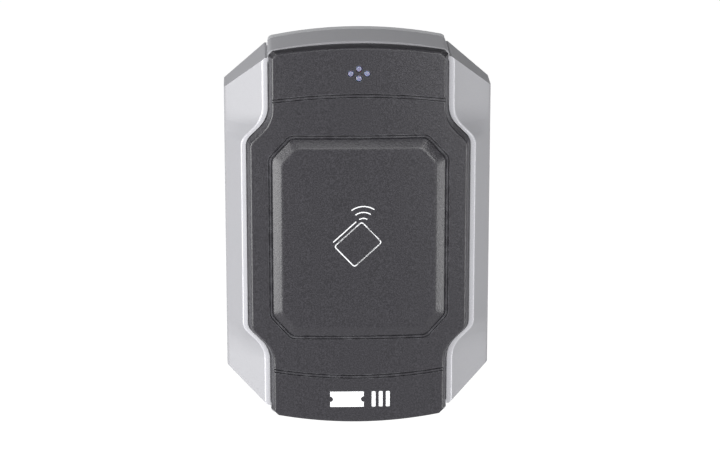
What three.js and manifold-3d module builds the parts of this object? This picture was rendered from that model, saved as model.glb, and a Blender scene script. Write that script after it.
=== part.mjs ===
// Wall-mounted contactless ticket reader.
// Millimetres. X runs across the reader, Z up it. The wall is the plane y = 0 and the reader faces -Y.
// Every "depth" below is a distance in front of the wall, so it is minus y.
import * as THREE from "three";
import { mergeVertices } from "three/addons/utils/BufferGeometryUtils.js";
import Module from "manifold-3d";

const wasm = await Module();
wasm.setup();

// ---- Overall sizes ----
const WIDTH = 100; // over the two side walls
const HEIGHT = 148.6; // over the crowns of the top and bottom bridges
const SIDE_DEPTH = 15.2; // the straight side walls, where the wings start to slope
const RIM_DEPTH = 25; // front of the lip round the fascia
const FASCIA_PROUD = 6; // crown of the fascia in front of the rim
const PAD_RISE = 1.3; // reading pad in front of the fascia

// ---- Housing ----
const WING_AT_ENDS = 14.6; // side wall to rim, in the narrow ends of the fascia
const WING_AT_MIDDLE = 6.3; // the same beside the reading pad
const RIM_WIDTH = 1.9;
const NOTCH_FROM_END = 39.7; // bridge crown to where the wide middle of the fascia ends
const WIDE_CORNER = 5.5; // corner radius of the rim where the wide middle ends
const NARROW_CORNER = 11; // corner radius of the rim where the narrow end starts
const CORNER_ACROSS = 15.4; // cut corner of the wings, across
const CORNER_DOWN = 13.4; // and down
const BRIDGE_STEP = 6.1; // bridge crown above the flat end of the wings
const BRIDGE_INSET = 1.1; // bridge side inside the cut corner
const BRIDGE_RADIUS = 165;
const BRIDGE_CORNER = 1.8;
const COVER_LIP = 4.5; // rear cover's visible edge on each bridge
const PARTING_GAP = 0.3;
const WALL = 2.2;
const BRIDGE_WALL = 2.9;
const SEAL_RIB = 1.9; // shoulder that the rear seal sits on
const SEAL_RIB_THICKNESS = 2;
const BRIDGE_PROUD = 0.2; // bridges in front of the rim
const SEAL_SPACE = 0.6; // room for the rear seal or the fascia gasket
const LEDGE = 3; // step that carries the fascia
const LEDGE_FROM_RIM = 3;
const LEDGE_THICKNESS = 2;
const COLUMN_RADIUS = 3.4;
const COLUMN_FROM_SIDE = 9;
const COLUMN_FROM_CROWN = 26.3;
const COLUMN_PILOT_DEPTH = 8;

// ---- Fascia ----
const FASCIA_GAP = 0.15;
const FASCIA_DRAFT = 0.4; // side slope, mm across per mm of depth
const FASCIA_END_DRAFT = 0.07;
const FASCIA_END_INSET = 0.9; // fascia end inside the bridge crown
const FASCIA_END_RADIUS = 190;
const FASCIA_CORNER = 1.8;
const FASCIA_WALL = 2.2;
const FACE_RADIUS = 340; // bulge of the face about an upright axis
const CROSS_GROOVE_FROM_CROWN = 19.35;
const CROSS_GROOVE_RADIUS = 231;
const CROSS_GROOVE_FROM_RIM = 2.6;
const GROOVE_WIDTH = 1.2;
const GROOVE_DEPTH = 0.6;
const PAD_FROM_RIM = 1.1; // pad's bevel foot inside the narrow rim
const PAD_FROM_CROWN = 35.7;
const PAD_SINK = 2.4; // the pad's sides start this far behind the crown of the face
const PAD_SLOPE = 1.12; // its side slope, mm across per mm of depth
const PAD_CORNER = 7.2; // chamfered corner, across
const PAD_CORNER_UP = 8;
const PAD_GROOVE = 0.8;
const FASCIA_BOSS_RADIUS = 2.8;
const FASCIA_SCREW_FROM_RIM = 6.5;
const FASCIA_SCREW_FROM_NOTCH = 4;
const FASCIA_PILOT_DEPTH = 3.9;
const FASCIA_REST_GAP = 0.25; // fascia's edge in front of the rim
const EAR_MARGIN = 0.6;
const GASKET_INSET = 0.4;
const STAKE_RADIUS = 1.2;
const STAKE_FROM_EDGE = 2.4;
const STAKE_GAP = 0.3;
const STAKE_PROUD = 1; // behind the antenna board

// ---- Status lights ----
const LIGHTS_FROM_CROWN = 10.95;
const LIGHT_SPREAD_X = 3;
const LIGHT_SPREAD_Z = 1.8;
const LIGHT_RADIUS = 1.15;
const LIGHT_GAP = 0.15;
const LIGHT_FLANGE = [13, 7, 1.5];
const FLANGE_GAP = 0.5; // to the fascia's inner face
const LED_SIZE = [1.6, 1.2, 0.8];
const LED_GAP = 0.4; // to the light guide

// ---- Screws ----
const SCREW_RADIUS = 1.15;
const SCREW_PILOT = 1.3;
const SCREW_CLEARANCE = 1.7;
const SCREW_HEAD_RADIUS = 2.6;
const SCREW_HEAD_HEIGHT = 1.8;
const DRIVE_RADIUS = 1.1;
const DRIVE_DEPTH = 1;
const REAR_SCREW_LENGTH = 9;
const BOARD_SCREW_LENGTH = 6.4;
const FASCIA_SCREW_LENGTH = 5.6;
const LOCK_HEAD_HEIGHT = 1.5;
const LOCK_HEAD_UP = 0.1; // its head above the foot of the bridge
const LOCK_RECESS = 1.7;
const LOCK_RECESS_MARGIN = 0.4;

// ---- Boards ----
const BOARD_THICKNESS = 1.6;
const BOARD_DEPTH = 14; // rear face of the main board
const BOARD_TOP_GAP = 1.25; // below the bridge's inner face, at the board's cut corners
const BOARD_CORNER = 4;
const BOARD_BOTTOM_GAP = 2.6; // above the rear cover's tab pocket
const BOARD_SIDE_GAP = 0.5;
const BOARD_POST_RADIUS = 3.2;
const BOARD_POST_FROM_EDGE = 4;
const POST_PILOT_DEPTH = 5.6;
const POST_WEB = 4;
const SEAT = 0.05; // between a piece and the board or face that it sits on
const BOARD_SCREW_GAP = 0.6; // between a screw head and the hook pocket below it
const ANTENNA_BOARD_THICKNESS = 1;
const ANTENNA_FROM_PAD = 4.4;
const ANTENNA_GAP = 0.45; // fascia's inner face to the antenna board's side edges
const COIL_TURNS = 3;
const COIL_TRACK = 1.4;
const COIL_PITCH = 2.6;
const COIL_THICKNESS = 0.2;
const COIL_FROM_EDGE = 4.6;
const COIL_SEAT = 0.02;
const LINK_FROM_EDGE = 2.6;
const LINK_SIZE = [10.2, 2.5];
const FERRITE_THICKNESS = 0.5;
const FERRITE_FROM_EDGE = 5; // ferrite sheet inside the antenna board, at the sides
const FERRITE_FROM_END = 6;

// ---- Service window in the rear cover ----
const COVER_FLOOR = 2;
const COVER_WALL = 2;
const COVER_GAP = 0.4;
const SEAL_INSET = 0.2; // rear seal inside the rear cover's edge
const WALL_GAP = 0.3; // rear cover's edge to the wall
const WINDOW_HALF_WIDTH = 15;
const WINDOW_BOTTOM = -31;
const WINDOW_TOP = 23;
const COLLAR_WALL = 2;
const COLLAR_GAP = 0.8; // collar's front edge to the main board
const HEADER_SIZE = [24, 8, 7]; // across, up, deep
const HEADER_WALL = 1.1;
const HEADER_HEIGHT_AT = -23.5;
const SWITCH_SIZE = [21.9, 9.6, 5.2];
const SWITCH_HEIGHT_AT = -3;
const SLIDER_COUNT = 8;
const SLIDER_PITCH = 2.54;
const SLIDER_SIZE = [1.2, 1.4, 1.4];
const SLIDER_TRAVEL = 1.2;
const SLIDER_GAP = 0.15;
const SLIDER_SLOT_DEPTH = 1.2;
const TAMPER_SIZE = [6, 6, 4.5];
const TAMPER_HEIGHT_AT = 15;
const PLUNGER_RADIUS = 1.5;
const PLUNGER_TRAVEL = 0.8;
const PLUNGER_GAP = 0.2;
const PLUNGER_BORE = 2.4;
const PLUNGER_REST_GAP = 0.3; // past its travel

// ---- Wall plate ----
const PLATE_THICKNESS = 1.5;
const PLATE_FROM_SIDE = 14;
const PLATE_FROM_CROWN = 21.3;
const SLOT_WIDTH = 5;
const SLOT_LENGTH = 9;
const WALL_BOX_HALF = 30.15; // half of 60.3 mm wall-box screw spacing
const UPRIGHT_BOX_HALF = 41.65; // half of 83.3 mm wall-box screw spacing
const SLOT_FROM_SIDE = 5; // middle of a side slot to the plate's edge, at least
const SLOT_FROM_TOP = 6;
const CABLE_WINDOW_MARGIN = 1;
const CABLE_WINDOW_ABOVE = 5;
const TONGUE_OVERLAP = 1;
const HOOK_WIDTH = 8;
const HOOK_FROM_PLATE_SIDE = 14;
const HOOK_FROM_PLATE_TOP = 8;
const HOOK_LIP = 4.5;
const HOOK_GAP = 0.5;
const LIFT = 5.2; // how far the reader is raised to clear the hooks
const TONGUE_HALF_WIDTH = 6;
const TAB_POCKET_GAP = 0.3; // rear cover's tab pocket to the housing's seal rib
const TAB_DEPTH = 13;
const LOCK_DEPTH = 10.4;
const POCKET_WALL = 1.2;

const ROUND = 16; // sides of a small round
const PAST = 1; // how far a cutting solid runs past what it cuts
const OVERLAP = 0.2; // how far two joined solids run into each other

// ---- Values that follow ----
const halfWidth = WIDTH / 2;
const halfHeight = HEIGHT / 2;
const faceDepth = RIM_DEPTH + FASCIA_PROUD;
const rimMiddle = halfWidth - WING_AT_MIDDLE - RIM_WIDTH;
const rimEnd = halfWidth - WING_AT_ENDS - RIM_WIDTH;
const notchStart = halfHeight - NOTCH_FROM_END;
const wingEnd = halfHeight - BRIDGE_STEP;
const bridgeHalf = halfWidth - CORNER_ACROSS - BRIDGE_INSET;
const bridgeFront = RIM_DEPTH + BRIDGE_PROUD;
const ledgeFront = RIM_DEPTH - LEDGE_FROM_RIM;
const ledgeBack = ledgeFront - LEDGE_THICKNESS;
const floorFront = COVER_LIP + COVER_FLOOR;
const sealRibBack = floorFront + SEAL_SPACE;
const columnX = halfWidth - COLUMN_FROM_SIDE;
const columnZ = halfHeight - COLUMN_FROM_CROWN;
const fasciaBack = ledgeFront + SEAL_SPACE;
const fasciaScrewX = rimMiddle - FASCIA_SCREW_FROM_RIM;
const fasciaScrewZ = notchStart - FASCIA_SCREW_FROM_NOTCH;
const padHalf = rimEnd - PAD_FROM_RIM;
const padHalfHeight = halfHeight - PAD_FROM_CROWN;
const lightsZ = halfHeight - LIGHTS_FROM_CROWN;
const boardHalf = bridgeHalf - BRIDGE_WALL - BOARD_SIDE_GAP;
const boardTop = bridgeInside(boardHalf - BOARD_CORNER) - BOARD_TOP_GAP;
const tabPocketHalf = TONGUE_HALF_WIDTH + HOOK_GAP + POCKET_WALL;
const tabPocketFloor = TAB_POCKET_GAP - bridgeInside(tabPocketHalf) + SEAL_RIB;
const tabZ = tabPocketFloor + POCKET_WALL + HOOK_GAP + LIFT;
const boardBottom = tabZ + PLATE_THICKNESS + HOOK_GAP + POCKET_WALL + BOARD_BOTTOM_GAP;
const boardFront = BOARD_DEPTH + BOARD_THICKNESS;
const postX = boardHalf - BOARD_POST_FROM_EDGE;
const antennaHalf = padHalf - ANTENNA_FROM_PAD;
const antennaHalfHeight = padHalfHeight - ANTENNA_FROM_PAD;
const antennaFront = faceDepth - FASCIA_WALL - sag(antennaHalf, FACE_RADIUS - FASCIA_WALL) - ANTENNA_GAP;
const antennaBack = antennaFront - ANTENNA_BOARD_THICKNESS;
const stakeX = antennaHalf - STAKE_FROM_EDGE;
const stakeZ = antennaHalfHeight - STAKE_FROM_EDGE;
const linkZ = LINK_FROM_EDGE - antennaHalfHeight;
const plateHalf = halfWidth - PLATE_FROM_SIDE;
const plateHalfHeight = halfHeight - PLATE_FROM_CROWN;
const windowHeight = WINDOW_TOP - WINDOW_BOTTOM;
const windowZ = (WINDOW_TOP + WINDOW_BOTTOM) / 2;
const windowWidth = 2 * WINDOW_HALF_WIDTH;
const boardRear = BOARD_DEPTH - SEAT;
const hookX = plateHalf - HOOK_FROM_PLATE_SIDE;
const hookZ = plateHalfHeight - HOOK_FROM_PLATE_TOP;
const hookPocketTop = hookZ + PLATE_THICKNESS + HOOK_LIP + HOOK_GAP + POCKET_WALL;
const boardPosts = [
  [postX, hookPocketTop + BOARD_SCREW_GAP + SCREW_HEAD_RADIUS],
  [-postX, hookPocketTop + BOARD_SCREW_GAP + SCREW_HEAD_RADIUS],
  [-postX, boardBottom + BOARD_POST_FROM_EDGE],
  [postX, boardBottom + BOARD_POST_FROM_EDGE],
];

// How far an arc of this radius has fallen at a distance from its crown.
function sag(across, radius) {
  return radius - Math.sqrt(radius * radius - across * across);
}

// Height of the bridge's inner face at a distance from the middle.
function bridgeInside(across) {
  return halfHeight - BRIDGE_WALL - sag(across, BRIDGE_RADIUS);
}

// ---- Solids ----

// A closed geometry as a solid that can be joined and cut.
function solidOf(geometry) {
  const bare = geometry.index ? geometry.toNonIndexed() : geometry.clone();
  bare.deleteAttribute("normal");
  bare.deleteAttribute("uv");
  const merged = mergeVertices(bare, 1e-4);
  const triVerts = new Uint32Array(merged.index.array);
  const vertProperties = new Float32Array(merged.attributes.position.array);
  return new wasm.Manifold(new wasm.Mesh({ numProp: 3, vertProperties, triVerts }));
}

function geometryOf(solid) {
  const mesh = solid.getMesh();
  const positions = new Float32Array(mesh.numVert * 3);
  for (let i = 0; i < mesh.numVert; i++) {
    const at = i * mesh.numProp;
    positions.set(mesh.vertProperties.subarray(at, at + 3), i * 3);
  }
  const geometry = new THREE.BufferGeometry();
  geometry.setAttribute("position", new THREE.BufferAttribute(positions, 3));
  geometry.setIndex(new THREE.BufferAttribute(mesh.triVerts, 1));
  return geometry;
}

const join = (...solids) => solids.reduce((whole, piece) => whole.add(piece));
const cut = (whole, ...tools) => tools.reduce((left, tool) => left.subtract(tool), whole);

// An outline in x and z, given depth from the wall.
function slab(outline, fromDepth, toDepth) {
  const depth = toDepth - fromDepth;
  const geometry = new THREE.ExtrudeGeometry(new THREE.Shape(outline), { depth, bevelEnabled: false });
  geometry.translate(0, 0, fromDepth);
  geometry.rotateX(Math.PI / 2);
  return solidOf(geometry);
}

// A slab whose sides lean from one outline at the back to another, with as many points, at the front.
function drafted(backOutline, frontOutline, fromDepth, toDepth) {
  const depth = toDepth - fromDepth;
  const geometry = new THREE.ExtrudeGeometry(new THREE.Shape(backOutline), { depth, bevelEnabled: false });
  const key = (x, z) => x.toFixed(3) + " " + z.toFixed(3);
  const partner = new Map(backOutline.map((point, i) => [key(point.x, point.y), frontOutline[i]]));
  const position = geometry.attributes.position;
  for (let i = 0; i < position.count; i++) {
    if (position.getZ(i) < depth / 2) continue;
    const front = partner.get(key(position.getX(i), position.getY(i)));
    position.setX(i, front.x);
    position.setY(i, front.y);
  }
  geometry.translate(0, 0, fromDepth);
  geometry.rotateX(Math.PI / 2);
  return solidOf(geometry);
}

function block(x, z, width, height, fromDepth, toDepth) {
  const geometry = new THREE.BoxGeometry(width, toDepth - fromDepth, height);
  geometry.translate(x, -(fromDepth + toDepth) / 2, z);
  return solidOf(geometry);
}

// A round along the depth.
function rod(x, z, radius, fromDepth, toDepth, sides = ROUND) {
  const geometry = new THREE.CylinderGeometry(radius, radius, toDepth - fromDepth, sides);
  geometry.translate(x, -(fromDepth + toDepth) / 2, z);
  return solidOf(geometry);
}

// An upright round.
function uprightRod(x, depth, radius, fromZ, toZ, sides = ROUND) {
  const geometry = new THREE.CylinderGeometry(radius, radius, toZ - fromZ, sides);
  geometry.rotateX(Math.PI / 2);
  geometry.translate(x, -depth, (fromZ + toZ) / 2);
  return solidOf(geometry);
}

// ---- Outlines ----
const point = (x, z) => new THREE.Vector2(x, z);

function arc(centreX, centreZ, radius, fromDegrees, toDegrees, steps) {
  const toRadians = THREE.MathUtils.degToRad;
  const clockwise = toDegrees < fromDegrees;
  const from = toRadians(fromDegrees);
  const to = toRadians(toDegrees);
  return new THREE.ArcCurve(centreX, centreZ, radius, from, to, clockwise).getPoints(steps);
}

// Mirrors the points of the upper right quarter into a whole outline, anticlockwise.
function fourfold(quarter) {
  const upperLeft = quarter.map((p) => point(-p.x, p.y)).reverse();
  const lowerLeft = quarter.map((p) => point(-p.x, -p.y));
  const lowerRight = quarter.map((p) => point(p.x, -p.y)).reverse();
  const all = [...quarter, ...upperLeft, ...lowerLeft, ...lowerRight];
  return all.filter((p, i) => p.distanceTo(all[(i + 1) % all.length]) > 1e-4);
}

// The flat arc that closes an end, from x = halfWide to x = 0.
function endArc(halfWide, crown, radius, steps) {
  const points = [];
  for (let i = 0; i <= steps; i++) {
    const x = halfWide * (1 - i / steps);
    points.push(point(x, crown - sag(x, radius)));
  }
  return points;
}

// The inner line of the rim, or one parallel to it, going up its right side.
function rimLine(offset) {
  const sine = Math.SQRT1_2;
  const wideRadius = Math.max(WIDE_CORNER + offset, 0.3);
  const narrowRadius = NARROW_CORNER - offset;
  const bothRadii = WIDE_CORNER + NARROW_CORNER;
  const slant = rimMiddle - rimEnd - bothRadii * (1 - sine);
  const narrowStart = notchStart + bothRadii * sine + slant;
  const wide = arc(rimMiddle - WIDE_CORNER, notchStart, wideRadius, 0, 45, 3);
  const narrow = arc(rimEnd + NARROW_CORNER, narrowStart, narrowRadius, 225, 180, 4);
  return [...wide, ...narrow];
}

// The fascia's outline, or one parallel to it, with chamfered end corners.
function fasciaOutline(offset, crown) {
  const side = rimEnd + offset;
  const end = endArc(side - FASCIA_CORNER, crown, FASCIA_END_RADIUS, 5);
  return fourfold([...rimLine(offset), point(side, end[0].y - FASCIA_CORNER), ...end]);
}

// An upright outline with cut corners, or one parallel to it and inside it.
function cutCornered(halfAcross, halfUp, cutAcross, cutDown, inset) {
  const length = Math.hypot(cutAcross, cutDown);
  const normalX = cutDown / length;
  const normalZ = cutAcross / length;
  const side = halfAcross - inset;
  const end = halfUp - inset;
  const reach = normalX * halfAcross + normalZ * (halfUp - cutDown) - inset;
  const cornerZ = (reach - normalX * side) / normalZ;
  const cornerX = (reach - normalZ * end) / normalX;
  return fourfold([point(side, cornerZ), point(cornerX, end)]);
}

const wingOutline = (inset) => cutCornered(halfWidth, wingEnd, CORNER_ACROSS, CORNER_DOWN, inset);
const padOutline = (inset) => cutCornered(padHalf, padHalfHeight, PAD_CORNER, PAD_CORNER_UP, inset);

// The strip that runs from bridge to bridge.
function bridgeOutline(inset) {
  const side = bridgeHalf - inset;
  const corner = Math.max(BRIDGE_CORNER - inset, 0.4);
  const end = endArc(side - corner, halfHeight - inset, BRIDGE_RADIUS, 6);
  const round = arc(side - corner, end[0].y - corner, corner, 0, 80, 2);
  return fourfold([...round, ...end]);
}

// Everything behind the bulge of the face, whose crown is at the given depth.
function behindBulge(crown) {
  const steps = 12;
  const reach = halfWidth + 5;
  const outline = [point(-reach, -5), point(reach, -5)];
  for (let i = 0; i <= steps; i++) {
    const x = reach * (1 - (2 * i) / steps);
    outline.push(point(x, crown - sag(x, FACE_RADIUS)));
  }
  const settings = { depth: HEIGHT, bevelEnabled: false };
  const geometry = new THREE.ExtrudeGeometry(new THREE.Shape(outline), settings);
  geometry.scale(1, -1, 1);
  geometry.translate(0, 0, -halfHeight);
  return solidOf(turnedOut(geometry));
}

// A mirrored geometry with its faces turned to point out again.
function turnedOut(geometry) {
  const position = geometry.attributes.position;
  const first = new THREE.Vector3();
  const second = new THREE.Vector3();
  for (let i = 0; i < position.count; i += 3) {
    first.fromBufferAttribute(position, i);
    second.fromBufferAttribute(position, i + 1);
    position.setXYZ(i, second.x, second.y, second.z);
    position.setXYZ(i + 1, first.x, first.y, first.z);
  }
  return geometry;
}

const corners = (x, z) => [
  [x, z],
  [-x, z],
  [-x, -z],
  [x, -z],
];

// ---- The assembly ----
const reader = new THREE.Group();

const FINISHES = {
  silver: { color: 0xb4b6bb, roughness: 0.45, metalness: 0.6 },
  black: { color: 0x4a4c50, roughness: 0.6, metalness: 0 },
  cover: { color: 0x9da0a5, roughness: 0.6, metalness: 0 },
  clear: { color: 0xb9b9d8, roughness: 0.2, metalness: 0 },
  rubber: { color: 0x1c1c1e, roughness: 0.9, metalness: 0 },
  board: { color: 0x1f5c38, roughness: 0.5, metalness: 0 },
  chip: { color: 0x202124, roughness: 0.7, metalness: 0 },
  copper: { color: 0xb87342, roughness: 0.35, metalness: 1 },
  ferrite: { color: 0x3a3532, roughness: 0.8, metalness: 0.1 },
  led: { color: 0xf2f0e4, roughness: 0.3, metalness: 0 },
  can: { color: 0xc8c8c8, roughness: 0.3, metalness: 1 },
  header: { color: 0xe9e6da, roughness: 0.6, metalness: 0 },
  switchBody: { color: 0x2454a0, roughness: 0.6, metalness: 0 },
  slider: { color: 0xf4f4f0, roughness: 0.6, metalness: 0 },
  steel: { color: 0x9fa3a8, roughness: 0.4, metalness: 1 },
};

function add(name, solid, finish) {
  const mesh = new THREE.Mesh(geometryOf(solid), new THREE.MeshStandardMaterial(FINISHES[finish]));
  mesh.name = name;
  reader.add(mesh);
}

// ---- Housing ----
// Everything between the outer faces of the two wings, up to a depth on their slope.
function wingSpan(inset, backDepth, slopeDepth, frontDepth) {
  const side = rimLine(RIM_WIDTH);
  const tall = halfHeight + 5;
  const levels = [...side, point(side[side.length - 1].x, tall)];
  const back = levels.map((p) => point(halfWidth - inset, p.y));
  const share = (frontDepth - SIDE_DEPTH) / (RIM_DEPTH - SIDE_DEPTH);
  const front = levels.map((p) => point(halfWidth - inset - (halfWidth - p.x) * share, p.y));
  const straight = slab(fourfold([point(halfWidth - inset, tall)]), backDepth, slopeDepth);
  const slope = drafted(fourfold(back), fourfold(front), slopeDepth, frontDepth);
  return join(straight, slope).intersect(slab(wingOutline(inset), backDepth, frontDepth));
}

function makeHousing() {
  const outer = join(wingSpan(0, 0, SIDE_DEPTH, RIM_DEPTH), slab(bridgeOutline(0), COVER_LIP, bridgeFront));
  const slopeBack = SIDE_DEPTH - PAST;
  const innerSpan = wingSpan(WALL, sealRibBack + SEAL_RIB_THICKNESS, slopeBack, ledgeBack);
  const hollow = join(
    slab(wingOutline(WALL), -PAST, sealRibBack),
    slab(wingOutline(WALL + SEAL_RIB), sealRibBack - PAST, slopeBack),
    innerSpan,
    slab(bridgeOutline(BRIDGE_WALL), -PAST, sealRibBack),
    slab(bridgeOutline(BRIDGE_WALL + SEAL_RIB), sealRibBack - PAST, slopeBack),
    slab(bridgeOutline(BRIDGE_WALL), sealRibBack + SEAL_RIB_THICKNESS, ledgeBack),
  );
  let housing = cut(outer, slab(bridgeOutline(-PARTING_GAP), -PAST, COVER_LIP + PARTING_GAP), hollow);
  for (const [x, z] of corners(columnX, columnZ)) {
    const column = rod(x, z, COLUMN_RADIUS, sealRibBack, RIM_DEPTH).intersect(outer);
    housing = join(housing, column).subtract(rod(x, z, SCREW_PILOT, 0, sealRibBack + COLUMN_PILOT_DEPTH));
  }
  const openingCrown = halfHeight - BRIDGE_WALL;
  housing = cut(
    housing,
    slab(fasciaOutline(0, openingCrown), ledgeFront, RIM_DEPTH + PAST),
    slab(fasciaOutline(-LEDGE, openingCrown - LEDGE), ledgeBack - PAST, ledgeFront + PAST),
  );
  for (const [x, z] of corners(fasciaScrewX, fasciaScrewZ)) {
    const reach = rimMiddle + PAST - fasciaScrewX;
    const ear = join(
      rod(x, z, FASCIA_BOSS_RADIUS + EAR_MARGIN, ledgeBack, ledgeFront),
      block(x + Math.sign(x) * reach / 2, z, reach, 2 * FASCIA_BOSS_RADIUS, ledgeBack, ledgeFront),
    );
    housing = join(housing, ear).subtract(rod(x, z, SCREW_CLEARANCE, ledgeBack - PAST, ledgeFront + PAST));
  }
  for (const [x, z] of boardPosts) {
    const reach = rimEnd + PAST - postX;
    const post = join(
      rod(x, z, BOARD_POST_RADIUS, boardFront + 2 * SEAT, ledgeFront),
      block(x + Math.sign(x) * reach / 2, z, reach, POST_WEB, ledgeBack, ledgeFront),
    );
    const pilot = rod(x, z, SCREW_PILOT, boardFront - PAST, boardFront + POST_PILOT_DEPTH);
    housing = join(housing, post).subtract(pilot);
  }
  const lockHole = uprightRod(0, LOCK_DEPTH, SCREW_CLEARANCE, -halfHeight - PAST, tabZ - 2 * PAST);
  const recessRadius = SCREW_HEAD_RADIUS + LOCK_RECESS_MARGIN;
  const lockHead = uprightRod(0, LOCK_DEPTH, recessRadius, -halfHeight - PAST, LOCK_RECESS - halfHeight);
  return cut(housing, lockHole, lockHead);
}

// ---- Fascia ----
// The outline of a groove that follows a flat arc; side is 1 at the top and -1 at the bottom.
function crossGroove(side) {
  const crown = halfHeight - CROSS_GROOVE_FROM_CROWN;
  const right = endArc(rimEnd - CROSS_GROOVE_FROM_RIM, crown, CROSS_GROOVE_RADIUS, 5);
  const left = right.slice(0, -1).map((p) => point(-p.x, p.y));
  const line = [...right, ...left.reverse()];
  const upper = line.map((p) => point(p.x, side * (p.y + GROOVE_WIDTH / 2)));
  const lower = line.map((p) => point(p.x, side * (p.y - GROOVE_WIDTH / 2)));
  return [...upper, ...lower.reverse()];
}

function makeFascia() {
  const past = faceDepth + PAD_RISE + PAST;
  const rest = RIM_DEPTH + FASCIA_REST_GAP;
  const crown = halfHeight - FASCIA_END_INSET;
  const rise = past - rest;
  const frontCrown = crown - rise * FASCIA_END_DRAFT;
  const base = fasciaOutline(-FASCIA_GAP, crown);
  const front = fasciaOutline(-FASCIA_GAP - rise * FASCIA_DRAFT, frontCrown);
  const cap = drafted(base, front, rest, past).intersect(behindBulge(faceDepth));
  const spigotCrown = halfHeight - BRIDGE_WALL - 2 * FASCIA_GAP;
  const spigot = slab(fasciaOutline(-2 * FASCIA_GAP, spigotCrown), fasciaBack, rest);
  const inner = drafted(
    fasciaOutline(-2 * FASCIA_GAP - FASCIA_WALL, spigotCrown - FASCIA_WALL),
    fasciaOutline(-2 * FASCIA_GAP - FASCIA_WALL - rise * FASCIA_DRAFT, spigotCrown - FASCIA_WALL - PAST),
    fasciaBack - PAST,
    past,
  ).intersect(behindBulge(faceDepth - FASCIA_WALL));
  const padTop = faceDepth + PAD_RISE;
  const padBack = faceDepth - PAD_SINK;
  const padGrooveRing = cut(slab(padOutline(-PAD_GROOVE), 0, past), slab(padOutline(0), -PAST, past + PAST));
  const grooveFloor = behindBulge(faceDepth - GROOVE_DEPTH);
  const grooves = join(
    padGrooveRing,
    slab(crossGroove(1), 0, past),
    slab(crossGroove(-1), 0, past),
  ).subtract(grooveFloor);
  const padFront = padTop + OVERLAP;
  const padSlope = drafted(padOutline(0), padOutline((padFront - padBack) * PAD_SLOPE), padBack, padFront);
  let fascia = cut(join(cap, spigot), grooves);
  fascia = join(fascia, padSlope.intersect(behindBulge(padTop))).subtract(inner);
  const insideFace = behindBulge(faceDepth - FASCIA_WALL / 2);
  for (const [x, z] of corners(fasciaScrewX, fasciaScrewZ)) {
    const boss = rod(x, z, FASCIA_BOSS_RADIUS, fasciaBack, faceDepth).intersect(insideFace);
    const pilot = rod(x, z, SCREW_PILOT, fasciaBack - PAST, fasciaBack + FASCIA_PILOT_DEPTH);
    fascia = join(fascia, boss).subtract(pilot);
  }
  for (const [x, z] of corners(stakeX, stakeZ)) {
    const stake = rod(x, z, STAKE_RADIUS, antennaBack - STAKE_PROUD, faceDepth, 12);
    fascia = join(fascia, stake.intersect(insideFace));
  }
  for (const [x, z] of lightPlaces()) {
    fascia = fascia.subtract(rod(x, z, LIGHT_RADIUS + LIGHT_GAP, fasciaBack, past, 12));
  }
  return fascia;
}

// ---- Status lights ----
function lightPlaces() {
  return [
    [LIGHT_SPREAD_X, lightsZ],
    [0, lightsZ + LIGHT_SPREAD_Z],
    [-LIGHT_SPREAD_X, lightsZ],
    [0, lightsZ - LIGHT_SPREAD_Z],
  ];
}

function makeLightGuide() {
  const pipeBack = boardFront + LED_SIZE[2] + LED_GAP;
  const flangeFront = faceDepth - FASCIA_WALL - FLANGE_GAP;
  const [width, height, thickness] = LIGHT_FLANGE;
  let guide = block(0, lightsZ, width, height, flangeFront - thickness, flangeFront);
  for (const [x, z] of lightPlaces()) {
    guide = join(guide, rod(x, z, LIGHT_RADIUS, pipeBack, faceDepth - SEAT, 12));
  }
  return guide;
}

// ---- Screws ----
// Points to the front, with its head at the back.
function frontScrew(x, z, headDepth, length) {
  const head = rod(x, z, SCREW_HEAD_RADIUS, headDepth - SCREW_HEAD_HEIGHT, headDepth);
  const shank = rod(x, z, SCREW_RADIUS, headDepth - OVERLAP, headDepth + length, 12);
  const back = headDepth - SCREW_HEAD_HEIGHT;
  return cut(join(head, shank), rod(x, z, DRIVE_RADIUS, back - PAST, back + DRIVE_DEPTH, 6));
}

function makeLockingScrew() {
  const headBottom = LOCK_HEAD_UP - halfHeight;
  const headTop = headBottom + LOCK_HEAD_HEIGHT;
  const tip = tabZ + PLATE_THICKNESS + OVERLAP;
  const head = uprightRod(0, LOCK_DEPTH, SCREW_HEAD_RADIUS, headBottom, headTop);
  const shank = uprightRod(0, LOCK_DEPTH, SCREW_RADIUS, headTop - OVERLAP, tip, 12);
  const drive = uprightRod(0, LOCK_DEPTH, DRIVE_RADIUS, headBottom - PAST, headBottom + DRIVE_DEPTH, 6);
  return cut(join(head, shank), drive);
}

// ---- Boards and what they carry ----
function makeMainBoard() {
  const outline = [
    point(-boardHalf, boardBottom),
    point(boardHalf, boardBottom),
    point(boardHalf, boardTop - BOARD_CORNER),
    point(boardHalf - BOARD_CORNER, boardTop),
    point(BOARD_CORNER - boardHalf, boardTop),
    point(-boardHalf, boardTop - BOARD_CORNER),
  ];
  let board = slab(outline, BOARD_DEPTH, boardFront);
  for (const [x, z] of boardPosts) {
    board = board.subtract(rod(x, z, SCREW_CLEARANCE, BOARD_DEPTH - PAST, boardFront + PAST));
  }
  return board;
}

function makeAntennaBoard() {
  let board = block(0, 0, 2 * antennaHalf, 2 * antennaHalfHeight, antennaBack, antennaFront);
  for (const [x, z] of corners(stakeX, stakeZ)) {
    board = board.subtract(rod(x, z, STAKE_RADIUS + STAKE_GAP, antennaBack - PAST, antennaFront + PAST, 12));
  }
  return board;
}

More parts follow.
